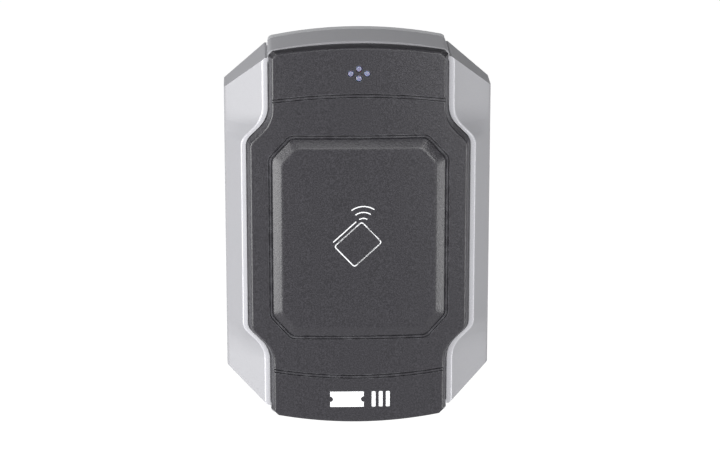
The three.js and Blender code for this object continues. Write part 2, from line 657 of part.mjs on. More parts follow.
// A square spiral track, laid on the front of the antenna board.
function makeAntennaCoil() {
  const outer = [];
  const inner = [];
  const startX = antennaHalf - COIL_FROM_EDGE;
  const startZ = antennaHalfHeight - COIL_FROM_EDGE;
  for (let turn = 0; turn < COIL_TURNS; turn++) {
    const next = (turn + 1) * COIL_PITCH;
    const now = turn * COIL_PITCH;
    const x = startX - now;
    const z = startZ - now;
    const path = [
      [x, z, 1, 1],
      [-x, z, -1, 1],
      [-x, -z, -1, -1],
      [x, -z, 1, -1],
    ];
    for (const [px, pz, sx, sz] of path) {
      outer.push(point(px, pz));
      inner.push(point(px - sx * COIL_TRACK, pz - sz * COIL_TRACK));
    }
    if (turn === COIL_TURNS - 1) {
      outer.push(point(x, startZ - next - COIL_TRACK));
      inner.push(point(x - COIL_TRACK, startZ - next - COIL_TRACK));
    } else {
      outer.push(point(x, startZ - next));
      inner.push(point(x - COIL_TRACK, startZ - next - COIL_TRACK));
      outer.push(point(x - COIL_PITCH, startZ - next));
      inner.push(point(x - COIL_PITCH - COIL_TRACK, startZ - next - COIL_TRACK));
    }
  }
  const loop = [...outer, ...inner.reverse()];
  const clean = loop.filter((p, i) => p.distanceTo(loop[(i + 1) % loop.length]) > 1e-4);
  return slab(clean, antennaFront + COIL_SEAT, antennaFront + COIL_SEAT + COIL_THICKNESS);
}

function makeFerriteSheet() {
  const width = 2 * (antennaHalf - FERRITE_FROM_EDGE);
  const height = 2 * (antennaHalfHeight - FERRITE_FROM_END);
  const front = antennaBack - SEAT;
  return block(0, 0, width, height, front - FERRITE_THICKNESS, front);
}

// A chip on the front of the main board; across and up are shares of the board's half width and length.
function onBoard(across, up, width, height, thickness) {
  const [x, z] = boardSpot(across, up);
  return block(x, z, width, height, boardFront + SEAT, boardFront + SEAT + thickness);
}

function boardSpot(across, up) {
  const middle = (boardTop + boardBottom) / 2;
  return [across * boardHalf, middle + (up * (boardTop - boardBottom)) / 2];
}

function roundOnBoard(across, up, radius, thickness) {
  const [x, z] = boardSpot(across, up);
  return rod(x, z, radius, boardFront + SEAT, boardFront + SEAT + thickness, 20);
}

// A piece on the rear of the main board.
function behindBoard([width, height, depth], z) {
  return block(0, z, width, height, boardRear - depth, boardRear);
}

function makeWiringHeader() {
  const [width, height, depth] = HEADER_SIZE;
  const mouth = boardRear - depth;
  const socket = block(
    0,
    HEADER_HEIGHT_AT,
    width - 2 * HEADER_WALL,
    height - 2 * HEADER_WALL,
    mouth - PAST,
    mouth + depth - HEADER_WALL,
  );
  return behindBoard(HEADER_SIZE, HEADER_HEIGHT_AT).subtract(socket);
}

const switchFace = boardRear - SWITCH_SIZE[2];
const sliderX = (i) => (i - (SLIDER_COUNT - 1) / 2) * SLIDER_PITCH;
const sliderRestZ = SWITCH_HEIGHT_AT - SLIDER_TRAVEL / 2;

function makeSwitchBody() {
  let body = behindBoard(SWITCH_SIZE, SWITCH_HEIGHT_AT);
  const width = SLIDER_SIZE[0] + 2 * SLIDER_GAP;
  const height = SLIDER_SIZE[1] + SLIDER_TRAVEL + 2 * SLIDER_GAP;
  const slotFloor = switchFace + SLIDER_SLOT_DEPTH;
  for (let i = 0; i < SLIDER_COUNT; i++) {
    const slot = block(sliderX(i), SWITCH_HEIGHT_AT, width, height, switchFace - PAST, slotFloor);
    body = body.subtract(slot);
  }
  return body;
}

function makeSlider(i) {
  const front = switchFace + SLIDER_SLOT_DEPTH - SLIDER_GAP;
  return block(sliderX(i), sliderRestZ, SLIDER_SIZE[0], SLIDER_SIZE[1], front - SLIDER_SIZE[2], front);
}

const tamperFace = boardRear - TAMPER_SIZE[2];
const boreFloor = tamperFace + PLUNGER_BORE;

function makeTamperBody() {
  const bore = rod(0, TAMPER_HEIGHT_AT, PLUNGER_RADIUS + PLUNGER_GAP, tamperFace - PAST, boreFloor);
  return behindBoard(TAMPER_SIZE, TAMPER_HEIGHT_AT).subtract(bore);
}

function makePlunger() {
  const tip = PLATE_THICKNESS + PLUNGER_GAP;
  return rod(0, TAMPER_HEIGHT_AT, PLUNGER_RADIUS, tip, boreFloor - PLUNGER_TRAVEL - PLUNGER_REST_GAP);
}

// ---- Rear cover ----
function hookPocket(x) {
  const width = HOOK_WIDTH + 2 * HOOK_GAP;
  const bottom = hookZ - LIFT - HOOK_GAP;
  const top = hookZ + PLATE_THICKNESS + HOOK_LIP + HOOK_GAP;
  const middle = (bottom + top) / 2;
  const height = top - bottom;
  const front = floorFront + HOOK_GAP + PLATE_THICKNESS + HOOK_GAP;
  const walls = 2 * POCKET_WALL;
  return {
    shell: block(x, middle, width + walls, height + walls, COVER_LIP, front + POCKET_WALL),
    hollow: block(x, middle, width, height, floorFront, front),
    slot: block(
      x,
      (bottom + hookZ + PLATE_THICKNESS) / 2,
      width,
      hookZ + PLATE_THICKNESS - bottom + 2 * SEAT,
      COVER_LIP - PAST,
      floorFront + 2 * SEAT,
    ),
  };
}

function makeRearCover() {
  const outerInset = WALL + COVER_GAP;
  const recess = join(
    slab(wingOutline(outerInset + COVER_WALL), 0, COVER_LIP),
    slab(bridgeOutline(BRIDGE_WALL + COVER_GAP + COVER_WALL), 0, COVER_LIP),
  );
  const wingPart = slab(wingOutline(outerInset), WALL_GAP, COVER_LIP);
  const rimPart = join(wingPart, slab(bridgeOutline(0), WALL_GAP, COVER_LIP));
  const floor = join(
    slab(wingOutline(outerInset), COVER_LIP, floorFront),
    slab(bridgeOutline(BRIDGE_WALL + COVER_GAP), COVER_LIP, floorFront),
  );
  let cover = join(rimPart.subtract(recess), floor);
  const collar = block(
    0,
    windowZ,
    windowWidth + 2 * COLLAR_WALL,
    windowHeight + 2 * COLLAR_WALL,
    COVER_LIP,
    BOARD_DEPTH - COLLAR_GAP,
  );
  const pockets = [hookPocket(hookX), hookPocket(-hookX)];
  const tabPocketTop = tabZ + PLATE_THICKNESS + HOOK_GAP;
  const tabPocketBottom = tabZ - LIFT - HOOK_GAP;
  const tabPocketZ = (tabPocketTop + tabPocketBottom) / 2;
  const tabPocketHeight = tabPocketTop - tabPocketBottom;
  const tabWidth = 2 * (TONGUE_HALF_WIDTH + HOOK_GAP);
  const tabFront = TAB_DEPTH + HOOK_GAP;
  const tabShell = block(
    0,
    tabPocketZ,
    tabWidth + 2 * POCKET_WALL,
    tabPocketHeight + 2 * POCKET_WALL,
    COVER_LIP,
    tabFront + POCKET_WALL,
  );
  cover = join(cover, collar, tabShell, ...pockets.map((pocket) => pocket.shell));
  cover = cut(
    cover,
    block(0, windowZ, windowWidth, windowHeight, 0, BOARD_DEPTH),
    block(0, tabPocketZ, tabWidth, tabPocketHeight, 0, tabFront),
    uprightRod(0, LOCK_DEPTH, SCREW_CLEARANCE, -halfHeight, tabZ),
    ...pockets.map((pocket) => pocket.hollow),
    ...pockets.map((pocket) => pocket.slot),
  );
  for (const [x, z] of corners(columnX, columnZ)) {
    cover = cover.subtract(rod(x, z, SCREW_CLEARANCE, COVER_LIP - PAST, floorFront + PAST));
  }
  return cover;
}

function makeRearSeal() {
  const from = floorFront + SEAT;
  const to = sealRibBack - SEAT;
  const outer = join(
    slab(wingOutline(WALL + COVER_GAP + SEAL_INSET), from, to),
    slab(bridgeOutline(BRIDGE_WALL + COVER_GAP + SEAL_INSET), from, to),
  );
  const inner = join(
    slab(wingOutline(WALL + SEAL_RIB), from - PAST, to + PAST),
    slab(bridgeOutline(BRIDGE_WALL + SEAL_RIB), from - PAST, to + PAST),
  );
  return outer.subtract(inner);
}

function makeServiceSeal() {
  const from = BOARD_DEPTH - COLLAR_GAP + SEAT;
  const to = boardRear;
  const outside = block(0, windowZ, windowWidth + 2 * COLLAR_WALL, windowHeight + 2 * COLLAR_WALL, from, to);
  return outside.subtract(block(0, windowZ, windowWidth, windowHeight, from - PAST, to + PAST));
}

function makeFasciaGasket() {
  const crown = halfHeight - BRIDGE_WALL;
  const from = ledgeFront + SEAT;
  const to = fasciaBack - SEAT;
  return cut(
    slab(fasciaOutline(-GASKET_INSET, crown - GASKET_INSET), from, to),
    slab(fasciaOutline(GASKET_INSET - LEDGE, crown - LEDGE + GASKET_INSET), from - PAST, to + PAST),
  );
}

// ---- Wall plate ----
function plateSlot(x, z, across, up) {
  return block(x, z, across, up, -PAST, PLATE_THICKNESS + PAST);
}

function makeMountingPlate() {
  const sheet = block(0, 0, 2 * plateHalf, 2 * plateHalfHeight, 0, PLATE_THICKNESS);
  const tongueTop = TONGUE_OVERLAP - plateHalfHeight;
  const tongueMiddle = (tongueTop + tabZ) / 2;
  const tongue = block(0, tongueMiddle, 2 * TONGUE_HALF_WIDTH, tongueTop - tabZ, 0, PLATE_THICKNESS);
  const tab = block(0, tabZ + PLATE_THICKNESS / 2, 2 * TONGUE_HALF_WIDTH, PLATE_THICKNESS, 0, TAB_DEPTH);
  let plate = join(sheet, tongue, tab).subtract(
    uprightRod(0, LOCK_DEPTH, SCREW_RADIUS + OVERLAP, tabZ - PAST, tabZ + PLATE_THICKNESS + PAST),
  );
  const hookFront = floorFront + HOOK_GAP + PLATE_THICKNESS;
  for (const x of [hookX, -hookX]) {
    const leg = block(x, hookZ + PLATE_THICKNESS / 2, HOOK_WIDTH, PLATE_THICKNESS, 0, hookFront);
    const lipTop = hookZ + PLATE_THICKNESS + HOOK_LIP;
    const lipBack = hookFront - PLATE_THICKNESS;
    const lip = block(x, (hookZ + lipTop) / 2, HOOK_WIDTH, lipTop - hookZ, lipBack, hookFront);
    const window = plateSlot(x, (lipTop + hookZ) / 2 + PLATE_THICKNESS, HOOK_WIDTH, lipTop - hookZ);
    plate = join(plate.subtract(window), leg, lip);
  }
  const [headerWidth, headerHeight] = HEADER_SIZE;
  const cableWidth = headerWidth + 2 * CABLE_WINDOW_MARGIN;
  const cableTop = HEADER_HEIGHT_AT + headerHeight / 2 + CABLE_WINDOW_ABOVE;
  const cableZ = (WINDOW_BOTTOM + cableTop) / 2;
  const sideSlot = Math.min(WALL_BOX_HALF, plateHalf - SLOT_FROM_SIDE);
  const endSlot = Math.min(UPRIGHT_BOX_HALF, plateHalfHeight - SLOT_FROM_TOP);
  return cut(
    plate,
    plateSlot(0, cableZ, cableWidth, cableTop - WINDOW_BOTTOM),
    plateSlot(sideSlot, 0, SLOT_LENGTH, SLOT_WIDTH),
    plateSlot(-sideSlot, 0, SLOT_LENGTH, SLOT_WIDTH),
    plateSlot(0, endSlot, SLOT_WIDTH, SLOT_LENGTH),
    plateSlot(0, -endSlot, SLOT_WIDTH, SLOT_LENGTH),
  );
}

// ---- Everything in its place ----
add("housing", makeHousing(), "silver");
add("fascia", makeFascia(), "black");
add("light_guide", makeLightGuide(), "clear");
add("fascia_gasket", makeFasciaGasket(), "rubber");
add("antenna_board", makeAntennaBoard(), "board");
add("antenna_coil", makeAntennaCoil(), "copper");
add("ferrite_sheet", makeFerriteSheet(), "ferrite");
add("main_board", makeMainBoard(), "board");
add("rf_chip", onBoard(0.35, 0.05, 7, 7, 1), "chip");
add("mcu_chip", onBoard(-0.35, -0.1, 10, 10, 1.4), "chip");
add("transceiver_chip", onBoard(-0.4, -0.55, 5, 4, 1.6), "chip");
add("regulator", onBoard(0.4, -0.6, 6.5, 6, 2.3), "chip");
add("crystal", onBoard(0.35, -0.2, 4.7, 11, 3.5), "can");
add("capacitor_1", roundOnBoard(-0.7, 0.16, 3.2, 5.4), "can");
add("capacitor_2", roundOnBoard(-0.38, 0.16, 3.2, 5.4), "can");
add("buzzer", roundOnBoard(-0.3, 0.5, 6, 4.2), "chip");
add("board_link_header", block(0, linkZ, ...LINK_SIZE, boardFront + SEAT, antennaBack - SEAT), "chip");
lightPlaces().forEach(([x, z], i) => {
  const [width, height, thickness] = LED_SIZE;
  add("led_" + (i + 1), block(x, z, width, height, boardFront + SEAT, boardFront + SEAT + thickness), "led");
});
add("wiring_header", makeWiringHeader(), "header");
add("dip_switch_body", makeSwitchBody(), "switchBody");
for (let i = 0; i < SLIDER_COUNT; i++) add("dip_slider_" + (i + 1), makeSlider(i), "slider");
add("tamper_switch_body", makeTamperBody(), "chip");
add("tamper_plunger", makePlunger(), "slider");
add("rear_cover", makeRearCover(), "cover");
add("rear_seal", makeRearSeal(), "rubber");
add("service_seal", makeServiceSeal(), "rubber");
add("mounting_plate", makeMountingPlate(), "steel");
add("locking_screw", makeLockingScrew(), "steel");
corners(columnX, columnZ).forEach(([x, z], i) => {
  add("rear_cover_screw_" + (i + 1), frontScrew(x, z, COVER_LIP, REAR_SCREW_LENGTH), "steel");
});
boardPosts.forEach(([x, z], i) => {
  add("board_screw_" + (i + 1), frontScrew(x, z, BOARD_DEPTH, BOARD_SCREW_LENGTH), "steel");
});
corners(fasciaScrewX, fasciaScrewZ).forEach(([x, z], i) => {
  add("fascia_screw_" + (i + 1), frontScrew(x, z, ledgeBack, FASCIA_SCREW_LENGTH), "steel");
});

export default reader;
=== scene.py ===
"""Contactless ticket reader: shells, lamps, symbols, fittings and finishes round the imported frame."""

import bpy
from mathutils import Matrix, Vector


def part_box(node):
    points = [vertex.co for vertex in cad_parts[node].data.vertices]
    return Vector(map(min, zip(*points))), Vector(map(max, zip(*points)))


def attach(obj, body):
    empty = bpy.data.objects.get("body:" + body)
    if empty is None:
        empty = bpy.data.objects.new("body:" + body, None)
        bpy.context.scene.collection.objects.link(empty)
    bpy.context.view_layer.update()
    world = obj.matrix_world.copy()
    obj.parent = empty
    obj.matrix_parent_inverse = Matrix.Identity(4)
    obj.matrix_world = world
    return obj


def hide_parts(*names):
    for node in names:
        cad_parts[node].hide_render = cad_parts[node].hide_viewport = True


bl_info = {
    "name": "Contactless Ticket Reader",
    "version": (1, 0, 0),
    "blender": (4, 5, 0),
    "location": "View3D > Sidebar > Reader",
    "description": "Models and finishes a wall-mounted contactless ticket reader piece by piece",
    "category": "Add Mesh",
}

import math

import bmesh
import bpy
from mathutils import Vector

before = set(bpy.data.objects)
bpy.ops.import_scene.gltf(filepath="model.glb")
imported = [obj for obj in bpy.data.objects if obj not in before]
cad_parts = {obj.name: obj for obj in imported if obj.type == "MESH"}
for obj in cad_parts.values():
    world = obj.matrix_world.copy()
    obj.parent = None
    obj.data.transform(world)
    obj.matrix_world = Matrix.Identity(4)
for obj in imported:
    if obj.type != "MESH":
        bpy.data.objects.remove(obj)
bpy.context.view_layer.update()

MM = 0.001


# ---- Places and sizes that the frame gives, in millimetres ----
def node_box(node):
    """Lowest and highest x, depth from the wall, and z of a CAD node."""
    low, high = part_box(node)
    return (low.x / MM, -high.y / MM, low.z / MM), (high.x / MM, -low.y / MM, high.z / MM)


def node_middle(node):
    """Middle of a CAD node's box, as x, depth and z."""
    low, high = node_box(node)
    return tuple((a + b) / 2 for a, b in zip(low, high))


def numbered(kind, count):
    """Names of like CAD nodes, such as led_1 to led_4."""
    return [kind + str(i + 1) for i in range(count)]


HALF_WIDTH = node_box("housing")[1][0]
HALF_HEIGHT = node_box("housing")[1][2]
BRIDGE_FRONT = node_box("housing")[1][1]
INK_THICKNESS = 0.03  # the printed card stands this far in front of the pad
PAD_TOP = node_box("fascia")[1][1] - INK_THICKNESS
FASCIA_BACK = node_box("fascia")[0][1]
FASCIA_END = node_box("fascia")[1][2]
LOCK_X, LOCK_DEPTH, _ = node_middle("locking_screw")

# ---- Sizes of the design, in millimetres ----
PAST = 1.0  # how far a cutter runs past what it cuts
# Housing
RIM_DEPTH = BRIDGE_FRONT - 0.2
SIDE_DEPTH = 15.2
WING_AT_ENDS = 14.6
WING_AT_MIDDLE = 6.3
NOTCH_FROM_END = 39.7
WIDE_CORNER = 5.5
NARROW_CORNER = 11.0
CORNER_ACROSS = 15.4
CORNER_DOWN = 13.4
BRIDGE_STEP = 6.1
BRIDGE_INSET = 1.1
BRIDGE_RADIUS = 165.0
BRIDGE_CORNER = 1.8
BRIDGE_WALL = 2.9
BRIDGE_ROUND = 0.9
PARTING_ROUND = 0.4
COVER_LIP = 4.5
PARTING_GAP = 0.3
WALL = 2.2
SEAL_RIB = 1.9
SEAL_RIB_BACK = 7.1
SEAL_RIB_FRONT = 9.1
LEDGE = 3.0
LEDGE_FRONT = RIM_DEPTH - 3.0
LEDGE_BACK = LEDGE_FRONT - 2.0
WING_END = HALF_HEIGHT - BRIDGE_STEP
RIM_STEPS = 10
SINE_45 = math.sqrt(0.5)
# Screws and what they go into
COVER_SCREW = "rear_cover_screw_"
BOARD_SCREW = "board_screw_"
FASCIA_SCREW = "fascia_screw_"
SCREW_KINDS = (COVER_SCREW, BOARD_SCREW, FASCIA_SCREW)
PILOT_RADIUS = 1.3
CLEARANCE_RADIUS = 1.7
COLUMN_RADIUS = 3.4
COLUMN_PILOT_DEPTH = 8.0
POST_RADIUS = 3.2
POST_BACK = node_box("main_board")[1][1] + 0.1
POST_PILOT_DEPTH = 5.5
POST_HALF_BAR = 2.0
BOSS_RADIUS = 2.8
BOSS_PILOT_DEPTH = 3.9
STAKE_RADIUS = 1.2
STAKE_FROM_EDGE = 2.4
LOCK_RECESS_RADIUS = 3.0
LOCK_RECESS = 1.7
# Fascia
FASCIA_WALL = 2.2
SPIGOT_GAP = 0.3
FASCIA_DRAFT = 0.21
FASCIA_END_DRAFT = 0.07
FASCIA_END_RADIUS = 190.0
FASCIA_CORNER = 1.8
FASCIA_REST = RIM_DEPTH + 0.25
FACE_RADIUS = 340.0
BULGE_DEPTH = 29.5
CROSS_GROOVE_Z = HALF_HEIGHT - 19.35
CROSS_GROOVE_RADIUS = 231.0
PAD_FROM_RIM = 1.1
PAD_HALF_HEIGHT = HALF_HEIGHT - 35.7
PAD_CORNER = 7.2
PAD_CORNER_UP = 8.0
LAMP_RADIUS = 1.15
LAMP_HOLE_RADIUS = 1.3
FLANGE_THICKNESS = 1.5
FLANGE_GAP = 0.5


def length_property(name, description, millimetres):
    return bpy.props.FloatProperty(
        name=name, description=description, default=millimetres * MM, unit="LENGTH"
    )


class ReaderSizes(bpy.types.PropertyGroup):
    """Sizes of the details that the frame doesn't fix."""

    rim_width: length_property("Rim width", "Flat lip round the fascia", 1.9)
    rim_round: length_property("Rim rounding", "Radius along both edges of the rim", 0.45)
    wing_round: length_property("Wing rounding", "Radius where a wing turns into the side wall", 1.1)
    cut_round: length_property("Cut corner rounding", "Radius along the edges of the cut corners", 0.35)
    fascia_round: length_property("Fascia rounding", "Radius round the front of the fascia", 0.4)
    groove_spacing: length_property(
        "Groove spacing", "Between the two fine lines of each groove across the fascia", 1.06
    )
    groove_depth: length_property("Groove depth", "Depth of the grooves in the fascia", 0.6)
    pad_rise: length_property("Pad rise", "Reading pad in front of the fascia", 1.3)
    pad_bevel: length_property("Pad bevel", "Width of the slope round the reading pad", 3.6)
    print_line: length_property("Symbol line", "Line width of the printed card symbol", 0.42)


def colour_property(name, description, value):
    return bpy.props.FloatVectorProperty(
        name=name, description=description, default=value, size=3, min=0, max=1, subtype="COLOR"
    )


class ReaderColours(bpy.types.PropertyGroup):
    """Base colours of the finishes."""

    silver: colour_property("Silver paint", "Housing", (0.37, 0.37, 0.39))
    black: colour_property("Black plastic", "Fascia", (0.022, 0.021, 0.025))
    grey: colour_property("Grey plastic", "Rear cover", (0.50, 0.505, 0.52))
    lamp: colour_property("Lamp", "Status light ends", (0.26, 0.27, 0.42))
    white: colour_property("Print", "Printed symbols", (0.86, 0.87, 0.88))
    zinc: colour_property("Zinc steel", "Wall plate and screws", (0.50, 0.51, 0.53))
    board: colour_property("Board", "Circuit boards", (0.02, 0.13, 0.055))


def sizes():
    return bpy.context.scene.reader_sizes


def size(name):
    """A detail size in millimetres."""
    return getattr(sizes(), name) / MM


def face_depth():
    """Crown of the fascia's face."""
    return PAD_TOP - size("pad_rise")


def colour(name):
    return (*getattr(bpy.context.scene.reader_colours, name), 1.0)


# ---- Outlines, as lists of (x, z) ----
def arc(centre_x, centre_z, radius, start, end, steps):
    """Points of an arc between two angles in degrees."""
    points = []
    for i in range(steps + 1):
        angle = math.radians(start + (end - start) * i / steps)
        points.append((centre_x + radius * math.cos(angle), centre_z + radius * math.sin(angle)))
    return points


def fourfold(quarter):
    """The upper right quarter mirrored into a whole outline."""
    loop = list(quarter)
    loop += [(-x, z) for x, z in reversed(quarter)]
    loop += [(-x, -z) for x, z in quarter]
    loop += [(x, -z) for x, z in reversed(quarter)]
    return [p for p, q in zip(loop, loop[1:] + loop[:1]) if math.dist(p, q) > 1e-4]


def sag(across, radius):
    """How far an arc has fallen at a distance from its crown."""
    return radius - math.sqrt(radius * radius - across * across)


def end_arc(half_wide, crown, radius, steps):
    """Points of a flat arc from its right end to its crown."""
    across = [half_wide * (1 - i / steps) for i in range(steps + 1)]
    return [(x, crown - sag(x, radius)) for x in across]


def rectangle(left, bottom, right, top):
    return [(left, bottom), (right, bottom), (right, top), (left, top)]


def rim_middle():
    return HALF_WIDTH - WING_AT_MIDDLE - size("rim_width")


def rim_end():
    return HALF_WIDTH - WING_AT_ENDS - size("rim_width")


def rim_line(offset):
    """The inner line of the rim, or one parallel to it, up its right side."""
    slant = rim_middle() - rim_end() - (WIDE_CORNER + NARROW_CORNER) * (1 - SINE_45)
    wide_z = HALF_HEIGHT - NOTCH_FROM_END
    narrow_z = wide_z + (WIDE_CORNER + NARROW_CORNER) * SINE_45 + slant
    wide = arc(rim_middle() - WIDE_CORNER, wide_z, max(WIDE_CORNER + offset, 0.3), 0, 45, RIM_STEPS)
    narrow = arc(rim_end() + NARROW_CORNER, narrow_z, NARROW_CORNER - offset, 225, 180, RIM_STEPS)
    return wide + narrow


def fascia_outline(offset, crown):
    """The fascia's outline, or one parallel to it, with its own end crown."""
    side = rim_end() + offset
    end = end_arc(side - FASCIA_CORNER, crown, FASCIA_END_RADIUS, 10)
    low = (side, end[0][1] - FASCIA_CORNER)
    chamfer = [low, (side - 0.12, low[1] + 0.3), (end[0][0] + 0.3, end[0][1] - 0.12)]
    return fourfold(rim_line(offset) + chamfer + end)


def pad_outline(inset, round_radius=4.0):
    """The reading pad's outline, with cut and slightly rounded corners."""
    side = rim_end() - PAD_FROM_RIM - inset
    end = PAD_HALF_HEIGHT - inset
    length = math.hypot(PAD_CORNER, PAD_CORNER_UP)
    normal_x = PAD_CORNER_UP / length
    normal_z = PAD_CORNER / length
    foot_side = rim_end() - PAD_FROM_RIM
    reach = normal_x * foot_side + normal_z * (PAD_HALF_HEIGHT - PAD_CORNER_UP) - inset
    low = Vector((side, (reach - normal_x * side) / normal_z))
    high = Vector(((reach - normal_z * end) / normal_x, end))
    quarter = rounded_corner(Vector((side, 0)), low, high, round_radius)
    quarter += rounded_corner(low, high, Vector((0, end)), round_radius)
    return fourfold(quarter)


def rounded_corner(before, corner, after, radius, steps=5):
    """Points that round a corner between two straight stretches."""
    towards_before = (before - corner).normalized()
    towards_after = (after - corner).normalized()
    half_angle = towards_before.angle(towards_after) / 2
    reach = radius / math.tan(half_angle)
    start = corner + towards_before * reach
    end = corner + towards_after * reach
    points = []
    for i in range(steps + 1):
        t = i / steps
        point = start * (1 - t) ** 2 + corner * 2 * t * (1 - t) + end * t * t
        points.append(tuple(point))
    return points


# ---- Modelling steps ----
def at(x, depth, z):
    """A point given in millimetres and depth from the wall, in metres in the frame."""
    return Vector((x * MM, -depth * MM, z * MM))


def deselect():
    if bpy.context.object and bpy.context.object.mode != "OBJECT":
        bpy.ops.object.mode_set(mode="OBJECT")
    bpy.ops.object.select_all(action="DESELECT")


def select_only(piece):
    deselect()
    piece.select_set(True)
    bpy.context.view_layer.objects.active = piece


def edit(piece, select="DESELECT", kind="VERT"):
    select_only(piece)
    bpy.ops.object.mode_set(mode="EDIT")
    bpy.ops.mesh.select_mode(type=kind)
    bpy.ops.mesh.select_all(action=select)
    return bmesh.from_edit_mesh(piece.data)


def leave_edit():
    bpy.ops.object.mode_set(mode="OBJECT")


def loft(name, rings):
    """A closed solid extruded from ring to ring; each ring is a list of as many (x, depth, z)."""
    deselect()
    bpy.ops.mesh.primitive_circle_add(vertices=len(rings[0]), fill_type="NGON")
    piece = bpy.context.object
    piece.name = name
    piece.data.name = name
    for vertex, place in zip(piece.data.vertices, rings[0]):
        vertex.co = at(*place)
    edit(piece, "SELECT")

    def key(co):
        return tuple(round(value * 1e6) for value in co)

    for before, ring in zip(rings, rings[1:]):
        target = {key(at(*p)): at(*q) for p, q in zip(before, ring)}
        bpy.ops.mesh.extrude_region_move()
        mesh = bmesh.from_edit_mesh(piece.data)
        for vertex in mesh.verts:
            if vertex.select:
                vertex.co = target[key(vertex.co)]
        bmesh.update_edit_mesh(piece.data)
    bpy.ops.mesh.select_all(action="SELECT")
    bpy.ops.mesh.normals_make_consistent(inside=False)
    leave_edit()
    return piece


def prism(name, outline, back, front):
    """An (x, z) outline given depth."""
    return loft(name, [[(x, depth, z) for x, z in outline] for depth in (back, front)])


def block(name, low, high):
    """A box between two corners, each x, depth and z."""
    return prism(name, rectangle(low[0], low[2], high[0], high[2]), low[1], high[1])


def combine(piece, tool, operation):
    select_only(piece)
    modifier = piece.modifiers.new("combine", "BOOLEAN")
    modifier.operation = operation
    modifier.solver = "EXACT"
    modifier.object = tool
    bpy.ops.object.modifier_apply(modifier=modifier.name)
    bpy.data.objects.remove(tool, do_unlink=True)
    return piece


def slice_off(piece, point, outward):
    """Cuts away what lies outside a plane and closes the cut."""
    edit(piece, "SELECT")
    normal = (outward[0], -outward[1], outward[2])
    bpy.ops.mesh.bisect(plane_co=at(*point), plane_no=normal, use_fill=True, clear_outer=True)
    leave_edit()


def score(piece, across):
    """Cuts upright edges into a piece at each x, with nothing taken away."""
    for x in across:
        edit(piece, "SELECT")
        bpy.ops.mesh.bisect(plane_co=at(x, 0, 0), plane_no=(1, 0, 0))
    leave_edit()


def soften(piece, width, chosen, segments=3, least_angle=25):
    """Rounds the sharp edges whose middle (x, depth, z) is chosen."""
    mesh = edit(piece, kind="EDGE")
    for edge in mesh.edges:
        if len(edge.link_faces) != 2 or edge.calc_face_angle(0) < math.radians(least_angle):
            continue
        middle = (edge.verts[0].co + edge.verts[1].co) / 2 / MM
        if chosen(middle.x, -middle.y, middle.z):
            edge.select_set(True)
    bmesh.update_edit_mesh(piece.data)
    bpy.ops.mesh.bevel(offset=width * MM, segments=segments, affect="EDGES", clamp_overlap=True)
    leave_edit()


def move_points(piece, place):
    """Moves each point to place(x, depth, z), in millimetres."""
    for vertex in piece.data.vertices:
        co = vertex.co / MM
        vertex.co = at(*place(co.x, -co.y, co.z))


def clean(piece, distance=0.01):
    edit(piece, "SELECT")
    bpy.ops.mesh.remove_doubles(threshold=distance * MM)
    bpy.ops.mesh.normals_make_consistent(inside=False)
    leave_edit()


def smooth(piece, angle=35):
    """Smooth shading up to an angle, with flat faces kept flat."""
    select_only(piece)
    bpy.ops.object.shade_smooth_by_angle(angle=math.radians(angle))
    modifier = piece.modifiers.new("flat_faces", "WEIGHTED_NORMAL")
    modifier.keep_sharp = True
    bpy.ops.object.modifier_apply(modifier=modifier.name)


def finish(piece, material, body, slot, *nodes):
    """Gives a piece its material and body, and hides the CAD nodes that it stands for; the slot is not used.
    """
    piece.data.materials.clear()
    piece.data.materials.append(material)
    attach(piece, body)
    if nodes:
        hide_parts(*nodes)
    return piece


# ---- Shared shader groups ----
def new_group(name, inputs, outputs):
    tree = bpy.data.node_groups.new(name, "ShaderNodeTree")
    for label, kind, default in inputs:
        socket = tree.interface.new_socket(name=label, in_out="INPUT", socket_type=kind)
        socket.default_value = default
    for label, kind in outputs:
        tree.interface.new_socket(name=label, in_out="OUTPUT", socket_type=kind)
    return tree, tree.nodes.new("NodeGroupInput"), tree.nodes.new("NodeGroupOutput")


def add_node(tree, kind, links=None, **values):
    """A node with its settings, and its inputs linked or set by name or number."""
    node = tree.nodes.new(kind)
    for label, value in values.items():
        setattr(node, label, value)
    for socket, source in (links or {}).items():
        if isinstance(source, bpy.types.NodeSocket):
            tree.links.new(source, node.inputs[socket])
        else:
            node.inputs[socket].default_value = source
    return node


def math_node(tree, operation, first, second=0.0, third=None):
    links = {0: first, 1: second}
    if third is not None:
        links[2] = third
    return add_node(tree, "ShaderNodeMath", links, operation=operation).outputs[0]


def object_place(tree):
    return add_node(tree, "ShaderNodeTexCoord").outputs["Object"]


def noise(tree, place, scale, detail, roughness=0.5):
    links = {"Vector": place, "Scale": scale, "Detail": detail, "Roughness": roughness}
    return add_node(tree, "ShaderNodeTexNoise", links).outputs["Fac"]


def remap(tree, value, low, high):
    """Spreads what lies between low and high over 0 to 1."""
    links = {"Value": value, "From Min": low, "From Max": high}
    return add_node(tree, "ShaderNodeMapRange", links).outputs["Result"]


